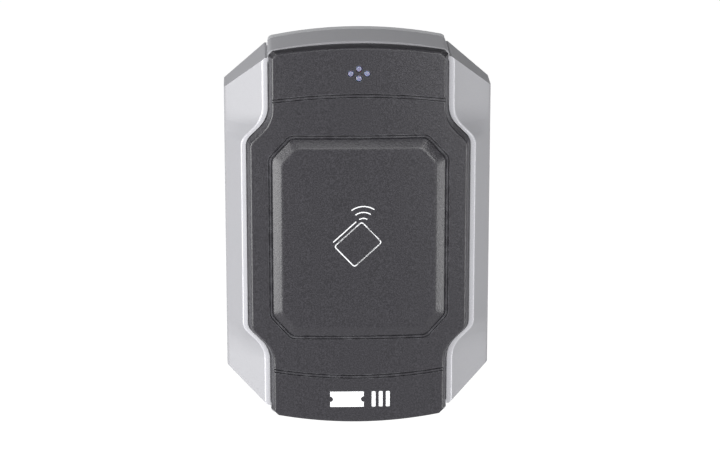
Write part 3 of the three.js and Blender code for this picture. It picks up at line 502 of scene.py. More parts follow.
def grain_group():
    """Fine moulded or sprayed grain: a height for bumps and a mask for colour and gloss."""
    tree, inside, outside = new_group(
        "Surface Grain",
        [("Scale", "NodeSocketFloat", 2500.0), ("Pits", "NodeSocketFloat", 0.5)],
        [("Height", "NodeSocketFloat"), ("Mask", "NodeSocketFloat")],
    )
    place = object_place(tree)
    scale = inside.outputs["Scale"]
    fine = noise(tree, place, scale, 3.0, 0.6)
    links = {"Vector": place, "Scale": math_node(tree, "MULTIPLY", scale, 0.6)}
    cells = add_node(tree, "ShaderNodeTexVoronoi", links, feature="SMOOTH_F1")
    cells.inputs["Smoothness"].default_value = 0.6
    pits = math_node(tree, "MULTIPLY", cells.outputs["Distance"], inside.outputs["Pits"])
    tree.links.new(math_node(tree, "ADD", fine, pits), outside.inputs["Height"])
    tree.links.new(remap(tree, fine, 0.42, 0.62), outside.inputs["Mask"])
    return tree


def drift_group():
    """Slow unevenness of a finish, and small scuffs, as masks."""
    tree, inside, outside = new_group(
        "Finish Drift",
        [("Scale", "NodeSocketFloat", 40.0), ("Scuffs", "NodeSocketFloat", 0.5)],
        [("Drift", "NodeSocketFloat"), ("Scuff", "NodeSocketFloat")],
    )
    place = object_place(tree)
    tree.links.new(noise(tree, place, inside.outputs["Scale"], 4.0), outside.inputs["Drift"])
    links = {"Vector": place, "Rotation": (0.4, 0.7, 0.2), "Scale": (1, 1, 14)}
    turned = add_node(tree, "ShaderNodeMapping", links).outputs[0]
    thin = remap(tree, noise(tree, turned, 180.0, 2.0), 0.66, 0.72)
    scuff = math_node(tree, "MULTIPLY", thin, inside.outputs["Scuffs"])
    tree.links.new(scuff, outside.inputs["Scuff"])
    return tree


def edge_wear_and_highlight_group():
    """How much a spot lies on an edge, broken up a little, for wear, rubbed gloss and a painted edge
    highlight.
    """
    tree, inside, outside = new_group(
        "Edge Wear And Highlight",
        [("Width", "NodeSocketFloat", 0.0004), ("Amount", "NodeSocketFloat", 0.5)],
        [("Mask", "NodeSocketFloat")],
    )
    place = object_place(tree)
    rounded = add_node(tree, "ShaderNodeBevel", {"Radius": inside.outputs["Width"]}, samples=4)
    straight = add_node(tree, "ShaderNodeNewGeometry").outputs["Normal"]
    links = {0: rounded.outputs[0], 1: straight}
    turn = add_node(tree, "ShaderNodeVectorMath", links, operation="DOT_PRODUCT").outputs["Value"]
    bend = remap(tree, turn, 0.995, 0.9)
    broken = remap(tree, noise(tree, place, 350.0, 3.0), 0.35, 0.65)
    both = math_node(tree, "MULTIPLY", bend, broken)
    tree.links.new(math_node(tree, "MULTIPLY", both, inside.outputs["Amount"]), outside.inputs["Mask"])
    return tree


def dust_group():
    """Dust that settles on faces turned up, as a mask."""
    tree, inside, outside = new_group(
        "Settled Dust",
        [("Amount", "NodeSocketFloat", 0.2)],
        [("Mask", "NodeSocketFloat")],
    )
    place = object_place(tree)
    straight = add_node(tree, "ShaderNodeNewGeometry").outputs["Normal"]
    facing = add_node(tree, "ShaderNodeSeparateXYZ", {0: straight}).outputs["Z"]
    upward = remap(tree, facing, 0.5, 1.0)
    spots = remap(tree, noise(tree, place, 900.0, 4.0), 0.45, 0.75)
    both = math_node(tree, "MULTIPLY", upward, spots)
    tree.links.new(math_node(tree, "MULTIPLY", both, inside.outputs["Amount"]), outside.inputs["Mask"])
    return tree


GROUP_MAKERS = {
    "Surface Grain": grain_group,
    "Finish Drift": drift_group,
    "Edge Wear And Highlight": edge_wear_and_highlight_group,
    "Settled Dust": dust_group,
}


def use_group(tree, name, **values):
    group = bpy.data.node_groups.get(name) or GROUP_MAKERS[name]()
    node = add_node(tree, "ShaderNodeGroup", node_tree=group)
    for label, value in values.items():
        node.inputs[label].default_value = value
    return node


def mix_colour(tree, factor, first, second):
    node = add_node(tree, "ShaderNodeMix", data_type="RGBA")
    for index, value in ((0, factor), (6, first), (7, second)):
        if isinstance(value, bpy.types.NodeSocket):
            tree.links.new(value, node.inputs[index])
        else:
            node.inputs[index].default_value = value
    return node.outputs[2]


def shade(value, factor):
    """A colour made lighter or darker."""
    return (*(min(channel * factor, 1.0) for channel in value[:3]), 1.0)


def surface(
    name,
    base,
    roughness,
    metallic=0.0,
    grain=2500.0,
    pits=0.5,
    bump=0.02,
    drift=0.06,
    edge=0.0,
    edge_wear_and_highlight_colour=None,
    dust=0.0,
    scuffs=0.0,
    painted_sparkle=0.0,
    **fixed,
):
    """A finish with grain, unevenness, rubbed edges also lightened as a painted highlight, painted sparkle
    and dust; fixed holds constant shader sockets.
    """
    finish_name = name + "_finish"
    found = bpy.data.materials.get(finish_name)
    if found:
        return found
    material = bpy.data.materials.new(finish_name)
    material.use_nodes = True
    tree = material.node_tree
    shader = tree.nodes["Principled BSDF"]
    shader.inputs["Metallic"].default_value = metallic
    for label, value in fixed.items():
        shader.inputs[label.replace("_", " ")].default_value = value
    texture = use_group(tree, "Surface Grain", Scale=grain, Pits=pits)
    unevenness = use_group(tree, "Finish Drift", Scale=45.0, Scuffs=scuffs)
    tint = mix_colour(tree, unevenness.outputs["Drift"], shade(base, 1 - drift), shade(base, 1 + drift))
    # Painted sparkle: lighter grains mixed into the base colour as painted glints.
    if painted_sparkle:
        glint = math_node(tree, "MULTIPLY", texture.outputs["Mask"], painted_sparkle)
        tint = mix_colour(tree, glint, tint, shade(base, 1.9))
    rough = math_node(tree, "MULTIPLY_ADD", texture.outputs["Mask"], 0.08, roughness - 0.04)
    # Edges lightened in the base colour: rubbed wear and a painted highlight along them.
    if edge:
        worn_and_highlit = use_group(tree, "Edge Wear And Highlight", Amount=edge).outputs["Mask"]
        tint = mix_colour(tree, worn_and_highlit, tint, edge_wear_and_highlight_colour or shade(base, 1.6))
        rough = math_node(tree, "MULTIPLY_ADD", worn_and_highlit, -0.12, rough)
    if dust:
        settled = use_group(tree, "Settled Dust", Amount=dust).outputs["Mask"]
        tint = mix_colour(tree, settled, tint, (0.55, 0.54, 0.52, 1.0))
        rough = math_node(tree, "MULTIPLY_ADD", settled, 0.3, rough)
    if scuffs:
        rough = math_node(tree, "MULTIPLY_ADD", unevenness.outputs["Scuff"], -0.1, rough)
    tree.links.new(tint, shader.inputs["Base Color"])
    tree.links.new(rough, shader.inputs["Roughness"])
    bumps = add_node(
        tree,
        "ShaderNodeBump",
        {"Height": texture.outputs["Height"], "Strength": 1.0, "Distance": bump * MM},
    )
    tree.links.new(bumps.outputs["Normal"], shader.inputs["Normal"])
    return material


# ---- Finishes ----
def silver_paint():
    return surface(
        "silver_paint",
        colour("silver"),
        roughness=0.42,
        metallic=0.0,
        grain=3200.0,
        pits=0.15,
        bump=0.012,
        drift=0.025,
        edge=0.35,
        # Light edge colour: worn paint and a painted edge highlight.
        edge_wear_and_highlight_colour=(0.80, 0.81, 0.82, 1.0),
        dust=0.15,
        # Painted glints in the grain of the paint.
        painted_sparkle=0.06,
        Coat_Weight=0.12,
        Coat_Roughness=0.35,
    )


# The rim's finish: a lighter, glossier copy of the silver paint, a painted highlight on the rim.
def rim_lip_painted_highlight():
    return surface(
        "rim_lip_painted_highlight",
        shade(colour("silver"), 1.55),
        roughness=0.3,
        metallic=0.1,
        grain=3200.0,
        pits=0.1,
        bump=0.006,
        drift=0.02,
        # Its edges get a near-white painted highlight as well.
        edge=0.8,
        edge_wear_and_highlight_colour=(0.93, 0.93, 0.95, 1.0),
        dust=0.1,
    )


def black_plastic():
    return surface(
        "black_plastic",
        colour("black"),
        roughness=0.32,
        grain=2100.0,
        pits=0.7,
        bump=0.03,
        drift=0.06,
        edge=0.7,
        # Grey edge colour: rubbed plastic and the painted highlight line along the fascia's edges.
        edge_wear_and_highlight_colour=(0.19, 0.19, 0.205, 1.0),
        dust=0.03,
        scuffs=0.2,
        # Strong painted glints in the grain of the plastic.
        painted_sparkle=0.9,
    )


def grey_plastic():
    return surface(
        "grey_plastic",
        colour("grey"),
        roughness=0.55,
        grain=2600.0,
        pits=0.8,
        bump=0.03,
        edge=0.25,
        dust=0.1,
        scuffs=0.2,
    )


def lamp_plastic():
    return surface(
        "lamp_plastic",
        colour("lamp"),
        roughness=0.22,
        grain=1500.0,
        bump=0.004,
        drift=0.12,
        Transmission_Weight=0.25,
        IOR=1.58,
        Subsurface_Weight=0.3,
        Subsurface_Scale=0.0008,
    )


def print_ink():
    return surface("print_ink", colour("white"), roughness=0.5, grain=2600.0, bump=0.01, drift=0.04)


def zinc_steel():
    return surface(
        "zinc_steel",
        colour("zinc"),
        roughness=0.38,
        metallic=1.0,
        grain=900.0,
        pits=0.3,
        bump=0.006,
        drift=0.05,
        edge=0.3,
        scuffs=0.5,
    )


def black_rubber():
    return surface("black_rubber", (0.02, 0.02, 0.022, 1), roughness=0.78, grain=1800.0, bump=0.03, dust=0.3)


def board_lacquer():
    return surface("board_lacquer", colour("board"), roughness=0.35, grain=700.0, bump=0.01, drift=0.2)


def moulded(name, base, roughness=0.5, **more):
    return surface(name, (*base, 1.0), roughness=roughness, grain=2200.0, bump=0.015, **more)


# ---- Housing ----
def quarter_turn(start, corner, end, steps=4):
    """Points of a rounded corner in a section, ends included."""
    points = []
    for i in range(steps + 1):
        t = i / steps
        shares = ((1 - t) ** 2, 2 * t * (1 - t), t * t)
        points.append(tuple(sum(s * v for s, v in zip(shares, values)) for values in zip(start, corner, end)))
    return points


def wing_section(rim_x):
    """A wing's section at one height: (x, depth) from the wall round the front and back to the wall."""
    side = HALF_WIDTH
    rim_outer = rim_x + size("rim_width")
    slope = Vector((rim_outer - side, RIM_DEPTH - SIDE_DEPTH)).normalized()
    crease = (side, SIDE_DEPTH)
    after_crease = (side + slope.x * size("wing_round"), SIDE_DEPTH + slope.y * size("wing_round"))
    before_rim = (rim_outer - slope.x * size("rim_round"), RIM_DEPTH - slope.y * size("rim_round"))
    points = [(side, 0.0), (side, 7.0)]
    points += quarter_turn((side, SIDE_DEPTH - size("wing_round")), crease, after_crease)
    for share in (0.25, 0.5, 0.75):
        points.append(tuple(a + (b - a) * share for a, b in zip(after_crease, before_rim)))
    points += quarter_turn(before_rim, (rim_outer, RIM_DEPTH), (rim_outer - size("rim_round"), RIM_DEPTH))
    edge = size("rim_round") * 0.8
    points += quarter_turn((rim_x + edge, RIM_DEPTH), (rim_x, RIM_DEPTH), (rim_x, RIM_DEPTH - edge), 3)
    points += [(rim_x, LEDGE_FRONT), (rim_x - LEDGE, LEDGE_FRONT), (rim_x - LEDGE, LEDGE_BACK)]
    points += [(rim_end() - LEDGE - 0.5, LEDGE_BACK), (rim_end() - LEDGE - 0.5, 0.0)]
    return points


def wing_stations():
    """Heights at which a wing's section is taken, with the rim's x there, from bottom to top."""
    upper = rim_line(0)
    straight = [(rim_middle(), upper[0][1] * i / 4) for i in range(4)]
    above = [(rim_end(), upper[-1][1] + (HALF_HEIGHT - upper[-1][1]) * i / 3) for i in (1, 2, 3)]
    top_half = straight + upper + above
    return [(x, -z) for x, z in reversed(top_half[1:])] + top_half


def cut_normal():
    """Direction, in x and z, that the upper right cut corner faces."""
    length = math.hypot(CORNER_ACROSS, CORNER_DOWN)
    return CORNER_DOWN / length, CORNER_ACROSS / length


def trim_corners(piece, inset, side):
    """Cuts the corners and ends of a wing, or of its hollow, to the outline on the wall."""
    normal_x, normal_z = cut_normal()
    for up in (1, -1):
        slice_off(piece, (0, 0, up * (WING_END - inset)), (0, 0, up))
        across = HALF_WIDTH - inset * normal_x
        down = WING_END - CORNER_DOWN - inset * normal_z
        slice_off(piece, (side * across, 0, up * down), (side * normal_x, 0, up * normal_z))


def make_wing(side):
    """One wing with its side wall, rim and ledge; side is 1 on the right and -1 on the left."""
    rings = [[(side * x, depth, z) for x, depth in wing_section(rim_x)] for rim_x, z in wing_stations()]
    wing = loft("wing", rings)
    trim_corners(wing, 0.0, side)
    normal_x, normal_z = cut_normal()
    reach = normal_x * HALF_WIDTH + normal_z * (WING_END - CORNER_DOWN)

    def on_cut(x, depth, z):
        corner = normal_x * abs(x) + normal_z * abs(z) > reach - 0.02
        flat_end = abs(z) > WING_END - 0.02
        return (corner or flat_end) and depth > 0.05 and abs(x) > rim_end() + 0.5

    soften(wing, size("cut_round"), on_cut, segments=2)
    return wing


def make_bridge(up):
    """The top or bottom bridge, carried across along its flat arc."""
    half = HALF_WIDTH - CORNER_ACROSS - BRIDGE_INSET + 0.1
    shoulder = half - BRIDGE_CORNER
    across = [shoulder * i / 12 for i in range(13)]
    across += [shoulder + BRIDGE_CORNER * math.sin(math.radians(angle)) for angle in (20, 40, 60, 78)]
    drops = []
    for x in across:
        past = max(x - shoulder, 0.0)
        drops.append(sag(x, BRIDGE_RADIUS) + sag(past, BRIDGE_CORNER))
    back = COVER_LIP + PARTING_GAP
    front = BRIDGE_FRONT
    crown = HALF_HEIGHT
    inner = crown - BRIDGE_WALL
    section = quarter_turn((crown - PARTING_ROUND, back), (crown, back), (crown, back + PARTING_ROUND), 3)
    section += quarter_turn((crown, front - BRIDGE_ROUND), (crown, front), (crown - BRIDGE_ROUND, front), 3)
    section += [(inner, front), (inner, LEDGE_FRONT), (inner - LEDGE, LEDGE_FRONT)]
    section += [(inner - LEDGE, LEDGE_BACK), (inner, LEDGE_BACK), (inner, back)]
    stations = [(-x, drop) for x, drop in zip(reversed(across), reversed(drops))]
    stations += list(zip(across, drops))[1:]
    rings = [[(x, depth, up * (z - drop)) for z, depth in section] for x, drop in stations]
    return loft("bridge", rings)


def hollow(inset, back, front):
    """The space behind the wings between two depths, leaving a wall of the inset."""
    stations = wing_stations()
    slope_share = max(front - SIDE_DEPTH, 0.0) / (RIM_DEPTH - SIDE_DEPTH)
    levels = [(back, 0.0), (min(SIDE_DEPTH - 1, front), 0.0)]
    if front > SIDE_DEPTH - 1:
        levels.append((front, slope_share))
    rings = []
    for depth, share in levels:
        right = []
        for rim_x, z in stations:
            fall = (HALF_WIDTH - rim_x - size("rim_width")) * share
            right.append((HALF_WIDTH - inset - fall, z))
        rings.append([(x, depth, z) for x, z in right] + [(-x, depth, z) for x, z in reversed(right)])
    space = loft("space", rings)
    for side in (1, -1):
        trim_corners(space, inset, side)
    return space


def bridge_space(inset, back, front):
    """The space inside both bridges between two depths."""
    half = HALF_WIDTH - CORNER_ACROSS - BRIDGE_INSET - inset
    end = end_arc(half - 0.6, HALF_HEIGHT - inset, BRIDGE_RADIUS, 12)
    return prism("space", fourfold([(half, end[0][1] - 0.6)] + end), back, front)


def cylinder(name, x, z, radius, back, front, sides=32):
    ring = arc(x, z, radius, 0, 360 - 360 / sides, sides - 1)
    return prism(name, ring, back, front)


def upright_cylinder(name, x, depth, radius, low, high, sides=32):
    ring = arc(x, depth, radius, 0, 360 - 360 / sides, sides - 1)
    return loft(name, [[(px, pd, z) for px, pd in ring] for z in (low, high)])


def places(nodes):
    """The (x, z) places of CAD nodes."""
    middles = [node_middle(node) for node in nodes]
    return [(x, z) for x, _, z in middles]


def bored(piece, post, x, z, radius, back, length):
    """Joins a post to a piece and bores it from its back."""
    combine(piece, post, "UNION")
    combine(piece, cylinder("bore", x, z, radius, back - PAST, back + length, 16), "DIFFERENCE")


def column(x, z):
    """A screw column that ends inside the slope of the wing."""
    back = []
    front = []
    for px, pz in arc(x, z, COLUMN_RADIUS, 0, 345, 23):
        slope = SIDE_DEPTH + (HALF_WIDTH - abs(px)) / WING_AT_ENDS * (RIM_DEPTH - SIDE_DEPTH)
        back.append((px, SEAL_RIB_BACK, pz))
        front.append((px, min(slope - WALL / 2, LEDGE_BACK + 0.5), pz))
    return loft("column", [back, front])


def ear(x, z, radius, half_bar, reach_x, back):
    """A post held by a flat bar that runs out to the ledge."""
    post = cylinder("ear", x, z, radius, back, LEDGE_FRONT)
    low, high = sorted((x, math.copysign(reach_x, x)))
    bar = block("bar", (low, LEDGE_BACK, z - half_bar), (high, LEDGE_FRONT, z + half_bar))
    return combine(post, bar, "UNION")


def add_posts(shell):
    """The columns, board posts and fascia ears that the screws go into."""
    for x, z in places(numbered(COVER_SCREW, 4)):
        bored(shell, column(x, z), x, z, PILOT_RADIUS, SEAL_RIB_BACK, COLUMN_PILOT_DEPTH)
    for x, z in places(numbered(BOARD_SCREW, 4)):
        post = ear(x, z, POST_RADIUS, POST_HALF_BAR, rim_end() + PAST, POST_BACK)
        bored(shell, post, x, z, PILOT_RADIUS, POST_BACK, POST_PILOT_DEPTH)
    for x, z in places(numbered(FASCIA_SCREW, 4)):
        post = ear(x, z, COLUMN_RADIUS, BOSS_RADIUS, rim_middle() + PAST, LEDGE_BACK)
        bored(shell, post, x, z, CLEARANCE_RADIUS, LEDGE_BACK, LEDGE_FRONT - LEDGE_BACK + PAST)


def add_lock_hole(shell):
    """The locking screw's hole and the recess for its head, from below."""
    foot = -HALF_HEIGHT
    for radius, top in ((CLEARANCE_RADIUS, foot + 6), (LOCK_RECESS_RADIUS, foot + LOCK_RECESS)):
        hole = upright_cylinder("hole", LOCK_X, LOCK_DEPTH, radius, foot - PAST, top)
        combine(shell, hole, "DIFFERENCE")


class READER_OT_housing(bpy.types.Operator):
    """Die-cast housing with its wings, rim, bridges, ledge and screw posts"""

    bl_idname = "reader.housing"
    bl_label = "Housing"

    def execute(self, context):
        shell = make_wing(1)
        for part in (make_wing(-1), make_bridge(1), make_bridge(-1)):
            combine(shell, part, "UNION")
        rib_back = SEAL_RIB_BACK - 0.5
        rib_front = SEAL_RIB_FRONT + 0.5
        bridge_inset = BRIDGE_WALL + 0.05
        for space in (
            hollow(WALL, -PAST, SEAL_RIB_BACK),
            hollow(WALL + SEAL_RIB, rib_back, rib_front),
            hollow(WALL, SEAL_RIB_FRONT, LEDGE_BACK),
            bridge_space(bridge_inset, -PAST, SEAL_RIB_BACK),
            bridge_space(BRIDGE_WALL + SEAL_RIB, rib_back, rib_front),
            bridge_space(bridge_inset, SEAL_RIB_FRONT, LEDGE_BACK - 0.05),
            bridge_space(-PARTING_GAP, -PAST, COVER_LIP + PARTING_GAP),
        ):
            combine(shell, space, "DIFFERENCE")
        add_lock_hole(shell)
        add_posts(shell)
        shell.name = "housing_shell"
        clean(shell)
        smooth(shell)
        finish(shell, silver_paint(), "reader", "silver_paint", "housing")
        # The rim's faces take the lighter copy of the silver paint, a painted highlight.
        shell.data.materials.append(rim_lip_painted_highlight())
        for face in shell.data.polygons:
            centre = face.center / MM
            on_rim = -centre.y > RIM_DEPTH - 0.35 and abs(centre.z) < WING_END
            face.material_index = 1 if on_rim else 0
        return {"FINISHED"}


# ---- Fascia ----
def bulge(x, depth, z):
    """Lays a flat front piece onto the bulge of the face, whose edge on the rim stays put."""
    share = min(max((depth - FASCIA_REST) / (BULGE_DEPTH - FASCIA_REST), 0.0), 1.0)
    return x, depth - sag(x, FACE_RADIUS) * share, z


def lay_on_bulge(piece, spacing=2.5):
    """Cuts a piece into upright strips and lays it onto the bulge."""
    low = min(vertex.co.x for vertex in piece.data.vertices) / MM
    high = max(vertex.co.x for vertex in piece.data.vertices) / MM
    first = math.ceil(low / spacing)
    last = math.floor(high / spacing)
    score(piece, [i * spacing + 0.01 for i in range(first, last + 1)])
    move_points(piece, bulge)


def fascia_loft(name, levels):
    """A block with the fascia's outline at each (offset, crown, depth)."""
    return loft(name, [[(x, depth, z) for x, z in fascia_outline(*level)] for *level, depth in levels])


def fascia_blank():
    """The fascia's block: spigot, sloping sides and rounded front edge, still flat."""
    face = face_depth()
    radius = size("fascia_round")
    spigot_crown = HALF_HEIGHT - BRIDGE_WALL - SPIGOT_GAP
    levels = [(-SPIGOT_GAP, spigot_crown, depth) for depth in (FASCIA_BACK, FASCIA_REST)]
    levels += [(-0.35, FASCIA_END, FASCIA_REST), (-0.15, FASCIA_END + 0.2, FASCIA_REST + 0.2)]
    side_top = face - radius
    for depth in (FASCIA_REST + 2, side_top):
        rise = depth - FASCIA_REST
        levels.append((-0.15 - rise * FASCIA_DRAFT, FASCIA_END + 0.2 - rise * FASCIA_END_DRAFT, depth))
    offset, crown, _ = levels[-1]
    for inward, up in ((0.2, 0.35), (0.5, 0.6), (1.4, 0.95), (1.8, 1.0)):
        levels.append((offset - inward * radius, crown - inward * radius, side_top + up * radius))
    return fascia_loft("fascia_cover", levels)


def cross_groove(up, shift):
    """The cutter of one fine line across the fascia, narrower at its floor."""
    reach = rim_end() + PAST
    steps = 24
    face = face_depth()
    across = [reach * (1 - 2 * i / steps) for i in range(steps + 1)]
    line = [(x, CROSS_GROOVE_Z + shift - sag(x, CROSS_GROOVE_RADIUS)) for x in across]
    rings = []
    for half_width, depth in ((0.07, face - size("groove_depth")), (0.24, face), (0.4, face + 0.5)):
        ring = [(x, depth, up * (z + half_width)) for x, z in line]
        ring += [(x, depth, up * (z - half_width)) for x, z in reversed(line)]
        rings.append(ring)
    return loft("groove", rings)


def pad_ring(name, *levels):
    """A block with the pad's outline at each (inset, depth)."""
    return loft(name, [[(x, depth, z) for x, z in pad_outline(inset)] for inset, depth in levels])


def pad_block():
    """The raised reading pad with its slope and softened crest."""
    face = face_depth()
    floor = face - size("groove_depth")
    bevel = size("pad_bevel")
    foot = face - 0.15
    levels = [(0.0, floor - 1.0), (0.0, floor), (0.1, foot - 0.1), (0.2, foot + 0.08)]
    levels += [(0.35, foot + 0.2), (bevel * 0.5, (foot + PAD_TOP) / 2 + 0.05), (bevel - 0.5, PAD_TOP - 0.22)]
    levels += [(bevel - 0.15, PAD_TOP - 0.1), (bevel + 0.25, PAD_TOP - 0.03), (bevel + 0.8, PAD_TOP)]
    return pad_ring("pad", *levels)


def add_bosses(cover, face):
    """Screw bosses, and stakes that hold the antenna board, behind the face."""
    inside = face - FASCIA_WALL / 2
    for x, z in places(numbered(FASCIA_SCREW, 4)):
        boss = cylinder("boss", x, z, BOSS_RADIUS, FASCIA_BACK, inside)
        bored(cover, boss, x, z, PILOT_RADIUS, FASCIA_BACK, BOSS_PILOT_DEPTH)
    low, high = node_box("antenna_board")
    stake_x = high[0] - STAKE_FROM_EDGE
    stake_z = high[2] - STAKE_FROM_EDGE
    for x, z in rectangle(-stake_x, -stake_z, stake_x, stake_z):
        combine(cover, cylinder("stake", x, z, STAKE_RADIUS, low[1] - PAST, inside, 16), "UNION")


class READER_OT_fascia(bpy.types.Operator):
    """Black moulded fascia with its reading pad, grooves and lamp holes"""

    bl_idname = "reader.fascia"
    bl_label = "Fascia"

    def execute(self, context):
        face = face_depth()
        floor = face - size("groove_depth")
        cover = fascia_blank()
        combine(cover, pad_ring("sink", (-1.12, floor), (-1.35, face), (-1.6, face + 0.5)), "DIFFERENCE")
        combine(cover, pad_ring("bead", (-0.98, floor - 1), (-0.98, floor), (-0.8, face - 0.05)), "UNION")
        combine(cover, pad_ring("sink", (-0.12, floor), (-0.38, face), (-0.6, face + 0.5)), "DIFFERENCE")
        for up in (1, -1):
            for side in (1, -1):
                combine(cover, cross_groove(up, side * size("groove_spacing") / 2), "DIFFERENCE")
        combine(cover, pad_block(), "UNION")
        inset = SPIGOT_GAP + FASCIA_WALL
        inner_crown = HALF_HEIGHT - BRIDGE_WALL - inset
        levels = [(-inset, inner_crown, FASCIA_BACK - PAST), (-4.4, inner_crown - 0.8, face - 2.6)]
        combine(cover, fascia_loft("inside", levels), "DIFFERENCE")
        add_bosses(cover, face)
        for x, z in places(numbered("led_", 4)):
            combine(cover, cylinder("hole", x, z, LAMP_HOLE_RADIUS, face - 5, face + 2), "DIFFERENCE")
        clean(cover)
        lay_on_bulge(cover)
        clean(cover)
        smooth(cover)
        finish(cover, black_plastic(), "reader", "black_plastic", "fascia")
        return {"FINISHED"}


# ---- Status lights ----
class READER_OT_lights(bpy.types.Operator):
    """Light guide with four domed lamp ends"""

    bl_idname = "reader.lights"
    bl_label = "Status lights"

    def execute(self, context):
        low, high = node_box("light_guide")
        flange_front = face_depth() - FASCIA_WALL - FLANGE_GAP
        flange_back = flange_front - FLANGE_THICKNESS
        flange_corners = (low[0], flange_back, low[2]), (high[0], flange_front, high[2])
        guide = block("light_guide_lens", *flange_corners)
        soften(guide, 0.3, lambda x, depth, z: True)
        back = low[1]
        front = high[1]
        for x, z in places(numbered("led_", 4)):
            rings = []
            for inset, depth in (
                (0.05, back),
                (0.0, back + 0.1),
                (0.0, front - 0.45),
                (0.08, front - 0.28),
                (0.3, front - 0.12),
                (0.62, front - 0.03),
                (0.95, front),
            ):
                ring = arc(x, z, LAMP_RADIUS - inset, 0, 348.75, 31)
                rings.append([(px, depth, pz) for px, pz in ring])
            combine(guide, loft("pipe", rings), "UNION")
        clean(guide)
        smooth(guide)
        finish(guide, lamp_plastic(), "reader", "lens_clear", "light_guide")
        return {"FINISHED"}


# ---- Printed symbols ----
def stroke(points, width):
    """The outline of a line of this width through the points, with round ends."""
    left = []
    right = []
    for i, point in enumerate(points):
        before = Vector(points[max(i - 1, 0)])
        after = Vector(points[min(i + 1, len(points) - 1)])
        along = (after - before).normalized()
        across = Vector((-along.y, along.x)) * width / 2
        left.append(tuple(Vector(point) + across))
        right.append(tuple(Vector(point) - across))
    ends = []
    for tip, inner in ((points[-1], points[-2]), (points[0], points[1])):
        heading = math.degrees(math.atan2(tip[1] - inner[1], tip[0] - inner[0]))
        ends.append(arc(tip[0], tip[1], width / 2, heading - 90, heading + 90, 6)[1:-1])
    return right + ends[0] + left[::-1] + ends[1]


def rounded_loop(corners, radius):
    """A closed outline with rounded corners."""
    loop = []
    for i, corner in enumerate(corners):
        before = Vector(corners[i - 1])
        after = Vector(corners[(i + 1) % len(corners)])
        loop += rounded_corner(before, Vector(corner), after, radius)
    return loop


def printed(name, outlines, surface_depth):
    """A film of ink on the bulged face, from flat outlines."""
    film = None
    for outline in outlines:
        layer = prism(name, outline, surface_depth - INK_THICKNESS, surface_depth + INK_THICKNESS)
        if film is None:
            film = layer
        else:
            select_only(film)
            layer.select_set(True)
            bpy.ops.object.join()
    lay_on_bulge(film, 1.5)
    smooth(film)
    return film


def card_strokes():
    """A tilted card with its stripe, and three waves over it."""
    width = size("print_line")
    centre = Vector((-0.4, -2.0))
    tilt = math.radians(43)
    across = Vector((math.cos(tilt), math.sin(tilt)))
    up = Vector((-math.sin(tilt), math.cos(tilt)))
    half_wide, half_tall = 7.0, 5.5

    def place(u, v):
        return tuple(centre + across * u * half_wide + up * v * half_tall)

    corners = [place(-1, -1), place(1, -1), place(1, 1), place(-1, 1)]
    loop = rounded_loop(corners, 1.1)
    outlines = [stroke(loop[i : i + 7], width) for i in (0, 6, 12, 18)]
    sides = [(5, 6), (11, 12), (17, 18), (23, 0)]
    outlines += [stroke([loop[a], loop[b % len(loop)]], width) for a, b in sides]
    edge = up * (half_tall + 1.5)
    outlines.append(stroke([tuple(centre + edge - across * 6.0), tuple(centre + edge + across * 5.4)], width))
    for radius, spread in ((2.6, 32), (4.9, 34), (7.2, 35)):
        outlines.append(stroke(arc(1.6, 5.6, radius, 92 - spread, 92 + spread, 12), width))
    return outlines


def ticket_shapes():
    """A plain ticket with notched short sides, beside three bars."""
    middle_z = -(HALF_HEIGHT - 10.3)
    half_wide, half_tall, notch = 6.4, 3.1, 1.1
    left = -4.6
    bar_width, bar_pitch = 1.5, 2.7
    outline = arc(left + half_wide, middle_z, notch, 270, 90, 8)
    outline += [(left + half_wide, middle_z + half_tall), (left - half_wide, middle_z + half_tall)]
    outline += arc(left - half_wide, middle_z, notch, 90, -90, 8)
    outline += [(left - half_wide, middle_z - half_tall), (left + half_wide, middle_z - half_tall)]
    bars = []
    for i in range(3):
        x = left + half_wide + 3.0 + i * bar_pitch
        bar = rectangle(x, middle_z - half_tall, x + bar_width, middle_z + half_tall)
        bars.append(rounded_loop(bar, 0.4))
    return [outline] + bars


class READER_OT_symbols(bpy.types.Operator):
    """Printed card symbol on the pad and plain ticket symbol at the foot"""

    bl_idname = "reader.symbols"
    bl_label = "Symbols"

    def execute(self, context):
        card = printed("card_symbol", card_strokes(), PAD_TOP)
        finish(card, print_ink(), "reader", "led_white")
        ticket = printed("ticket_symbol", ticket_shapes(), face_depth())
        finish(ticket, print_ink(), "reader", "led_white")
        return {"FINISHED"}


# ---- Pieces kept from the frame ----
def paint(material, *nodes):
    """Gives CAD nodes their finish; their shapes stay."""
    for node in nodes:
        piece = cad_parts[node]
        piece.data.materials.clear()
        piece.data.materials.append(material)


def refined_copy(node, name, width, segments=2, angle=30):
    """A merged copy of a CAD node with its edges rounded."""
    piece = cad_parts[node].copy()
    piece.data = piece.data.copy()
    piece.parent = None
    for label in list(piece.keys()):
        del piece[label]
    bpy.context.scene.collection.objects.link(piece)
    piece.name = name
    piece.data.name = name
    piece.hide_render = False
    edit(piece, "SELECT")
    bpy.ops.mesh.remove_doubles(threshold=0.005 * MM)
    bpy.ops.mesh.dissolve_limited(angle_limit=math.radians(1))
    leave_edit()
    soften(piece, width, lambda x, depth, z: True, segments, angle)
    smooth(piece)
    return piece


class READER_OT_rear_cover(bpy.types.Operator):
    """Grey moulded rear cover"""

    bl_idname = "reader.rear_cover"
    bl_label = "Rear cover"

    def execute(self, context):
        cover = refined_copy("rear_cover", "rear_cover_shell", 0.3)
        finish(cover, grey_plastic(), "reader", "cover_grey", "rear_cover")
        return {"FINISHED"}


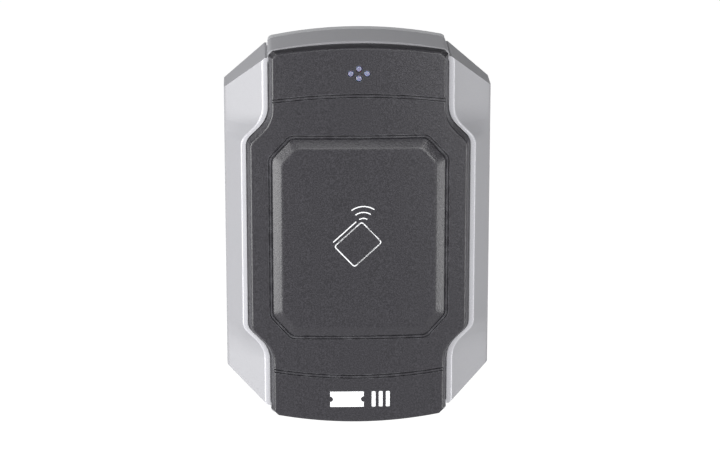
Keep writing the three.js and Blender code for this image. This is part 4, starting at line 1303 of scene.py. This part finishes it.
class READER_OT_wall_plate(bpy.types.Operator):
    """Bent sheet plate with its hooks and tongue"""

    bl_idname = "reader.wall_plate"
    bl_label = "Wall plate"

    def execute(self, context):
        plate = refined_copy("mounting_plate", "wall_plate_sheet", 0.2)
        finish(plate, zinc_steel(), "wall_plate", "zinc_steel", "mounting_plate")
        return {"FINISHED"}


class READER_OT_wiring_header(bpy.types.Operator):
    """Socket that the wiring plugs into"""

    bl_idname = "reader.wiring_header"
    bl_label = "Wiring socket"

    def execute(self, context):
        header = refined_copy("wiring_header", "wiring_header_socket", 0.15)
        nylon = moulded("cream_nylon", (0.72, 0.68, 0.56))
        finish(header, nylon, "reader", "header_cream", "wiring_header")
        return {"FINISHED"}


class READER_OT_seals(bpy.types.Operator):
    """Rubber seals and gasket"""

    bl_idname = "reader.seals"
    bl_label = "Seals"

    def execute(self, context):
        paint(black_rubber(), "rear_seal", "service_seal", "fascia_gasket")
        return {"FINISHED"}


class READER_OT_boards(bpy.types.Operator):
    """Circuit boards with the antenna's coil and ferrite"""

    bl_idname = "reader.boards"
    bl_label = "Boards"

    def execute(self, context):
        paint(board_lacquer(), "main_board", "antenna_board")
        copper = surface("copper_track", (0.75, 0.36, 0.18, 1), roughness=0.3, metallic=1.0)
        paint(copper, "antenna_coil")
        paint(moulded("ferrite", (0.05, 0.045, 0.04), 0.7), "ferrite_sheet")
        return {"FINISHED"}


class READER_OT_components(bpy.types.Operator):
    """Chips, cans and lamps on the main board"""

    bl_idname = "reader.components"
    bl_label = "Components"

    def execute(self, context):
        black = moulded("chip_epoxy", (0.02, 0.02, 0.022), 0.55)
        paint(black, "rf_chip", "mcu_chip", "transceiver_chip", "regulator", "buzzer", "board_link_header")
        can = surface("drawn_can", (0.72, 0.72, 0.72, 1), roughness=0.3, metallic=1.0, bump=0.004)
        paint(can, "crystal", "capacitor_1", "capacitor_2")
        paint(moulded("led_epoxy", (0.80, 0.79, 0.70), 0.2), *numbered("led_", 4))
        return {"FINISHED"}


class READER_OT_switches(bpy.types.Operator):
    """Setting switches and tamper switch"""

    bl_idname = "reader.switches"
    bl_label = "Switches"

    def execute(self, context):
        paint(moulded("chip_epoxy", (0.02, 0.02, 0.022), 0.55), "tamper_switch_body")
        paint(moulded("switch_blue", (0.03, 0.10, 0.33)), "dip_switch_body")
        white = moulded("switch_white", (0.82, 0.82, 0.79))
        paint(white, "tamper_plunger", *numbered("dip_slider_", 8))
        return {"FINISHED"}


class READER_OT_screws(bpy.types.Operator):
    """Zinc plated screws"""

    bl_idname = "reader.screws"
    bl_label = "Screws"

    def execute(self, context):
        for kind in SCREW_KINDS:
            paint(zinc_steel(), *numbered(kind, 4))
        paint(zinc_steel(), "locking_screw")
        return {"FINISHED"}


# ---- Stage ----
SOFT_LIGHTS = (
    # name, azimuth, elevation, distance, width, height, power
    ("left_softbox", -53, -4, 1.3, 0.6, 0.9, 14.5),
    ("right_softbox", 55, -17, 1.3, 0.3, 0.5, 3.9),
    ("front_left_softbox", -28, 2, 1.3, 0.35, 0.5, 2.0),
    ("front_right_softbox", 24, 6, 1.3, 0.35, 0.5, 5.5),
    ("front_softbox", -3, 17, 1.3, 0.5, 0.4, 3.0),
    ("back_left_softbox", -118, 48, 1.4, 0.8, 0.8, 11.0),
    ("back_right_softbox", 125, 48, 1.4, 0.8, 0.8, 5.0),
)
FLOOR_Z = -0.7
FLOOR_GLOW = 0.4
WORLD_STRENGTH = 0.05
CAMERA_TARGET = (0.00094, -0.015, 0.00037)
CAMERA_AZIMUTH = -2.1
CAMERA_ELEVATION = 16.86
CAMERA_DISTANCE = 1.12
CAMERA_LENS = 147.6


def direction(azimuth, elevation):
    """Unit vector from the reader towards a viewer or a light; azimuth 0 is straight in front."""
    around, up = math.radians(azimuth), math.radians(elevation)
    return Vector((math.sin(around) * math.cos(up), -math.cos(around) * math.cos(up), math.sin(up)))


def add_softbox(name, place, back, width, height, power):
    light = bpy.data.lights.new(name, "AREA")
    light.energy = power
    light.shape = "RECTANGLE"
    light.size = width
    light.size_y = height
    lamp = bpy.data.objects.new(name, light)
    bpy.context.scene.collection.objects.link(lamp)
    lamp.location = place
    lamp.rotation_euler = back.to_track_quat("Z", "Y").to_euler()


class READER_OT_stage(bpy.types.Operator):
    """Pale floor, soft light and the camera"""

    bl_idname = "reader.stage"
    bl_label = "Stage"

    def execute(self, context):
        deselect()
        bpy.ops.mesh.primitive_plane_add(size=24, location=(0, 0, FLOOR_Z))
        floor = context.object
        floor.name = "floor"
        material = bpy.data.materials.new("floor_pale")
        material.use_nodes = True
        shader = material.node_tree.nodes["Principled BSDF"]
        shader.inputs["Base Color"].default_value = (0.3, 0.3, 0.3, 1)
        shader.inputs["Roughness"].default_value = 1.0
        shader.inputs["Specular IOR Level"].default_value = 0.0
        shader.inputs["Emission Color"].default_value = (1, 1, 1, 1)
        seen = add_node(material.node_tree, "ShaderNodeLightPath").outputs["Is Camera Ray"]
        glow = math_node(material.node_tree, "MULTIPLY_ADD", seen, 1 - FLOOR_GLOW, FLOOR_GLOW)
        material.node_tree.links.new(glow, shader.inputs["Emission Strength"])
        floor.data.materials.append(material)

        world = context.scene.world or bpy.data.worlds.new("studio")
        context.scene.world = world
        world.use_nodes = True
        background = world.node_tree.nodes["Background"]
        background.inputs["Color"].default_value = (1, 1, 1, 1)
        background.inputs["Strength"].default_value = WORLD_STRENGTH
        for name, azimuth, elevation, distance, width, height, power in SOFT_LIGHTS:
            back = direction(azimuth, elevation)
            add_softbox(name, back * distance, back, width, height, power)
        context.scene.view_settings.view_transform = "Standard"

        target = Vector(CAMERA_TARGET)
        back = direction(CAMERA_AZIMUTH, CAMERA_ELEVATION)
        camera_data = bpy.data.cameras.new("camera")
        camera_data.lens = CAMERA_LENS
        camera_data.sensor_width = 36
        camera = bpy.data.objects.new("camera", camera_data)
        context.scene.collection.objects.link(camera)
        camera.location = target + back * CAMERA_DISTANCE
        camera.rotation_euler = back.to_track_quat("Z", "Y").to_euler()
        context.scene.camera = camera
        return {"FINISHED"}


class READER_PT_panel(bpy.types.Panel):
    """Sizes, colours and steps of the reader"""

    bl_label = "Ticket reader"
    bl_idname = "READER_PT_panel"
    bl_space_type = "VIEW_3D"
    bl_region_type = "UI"
    bl_category = "Reader"

    def draw(self, context):
        for owner in (context.scene.reader_sizes, context.scene.reader_colours):
            for label in owner.__annotations__:
                self.layout.prop(owner, label)
        for step in STEPS:
            self.layout.operator(step.bl_idname)


STEPS = (
    READER_OT_stage,
    READER_OT_housing,
    READER_OT_fascia,
    READER_OT_lights,
    READER_OT_symbols,
    READER_OT_rear_cover,
    READER_OT_wall_plate,
    READER_OT_wiring_header,
    READER_OT_seals,
    READER_OT_boards,
    READER_OT_components,
    READER_OT_switches,
    READER_OT_screws,
)
CLASSES = (ReaderSizes, ReaderColours, *STEPS, READER_PT_panel)


def register():
    for each in CLASSES:
        bpy.utils.register_class(each)
    bpy.types.Scene.reader_sizes = bpy.props.PointerProperty(type=ReaderSizes)
    bpy.types.Scene.reader_colours = bpy.props.PointerProperty(type=ReaderColours)


def unregister():
    del bpy.types.Scene.reader_colours
    del bpy.types.Scene.reader_sizes
    for each in reversed(CLASSES):
        bpy.utils.unregister_class(each)


def main():
    register()
    bpy.ops.reader.stage()
    bpy.ops.reader.housing()
    bpy.ops.reader.fascia()
    bpy.ops.reader.lights()
    bpy.ops.reader.symbols()
    bpy.ops.reader.rear_cover()
    bpy.ops.reader.wall_plate()
    bpy.ops.reader.wiring_header()
    bpy.ops.reader.seals()
    bpy.ops.reader.boards()
    bpy.ops.reader.components()
    bpy.ops.reader.switches()
    bpy.ops.reader.screws()


if __name__ == "__main__":
    main()
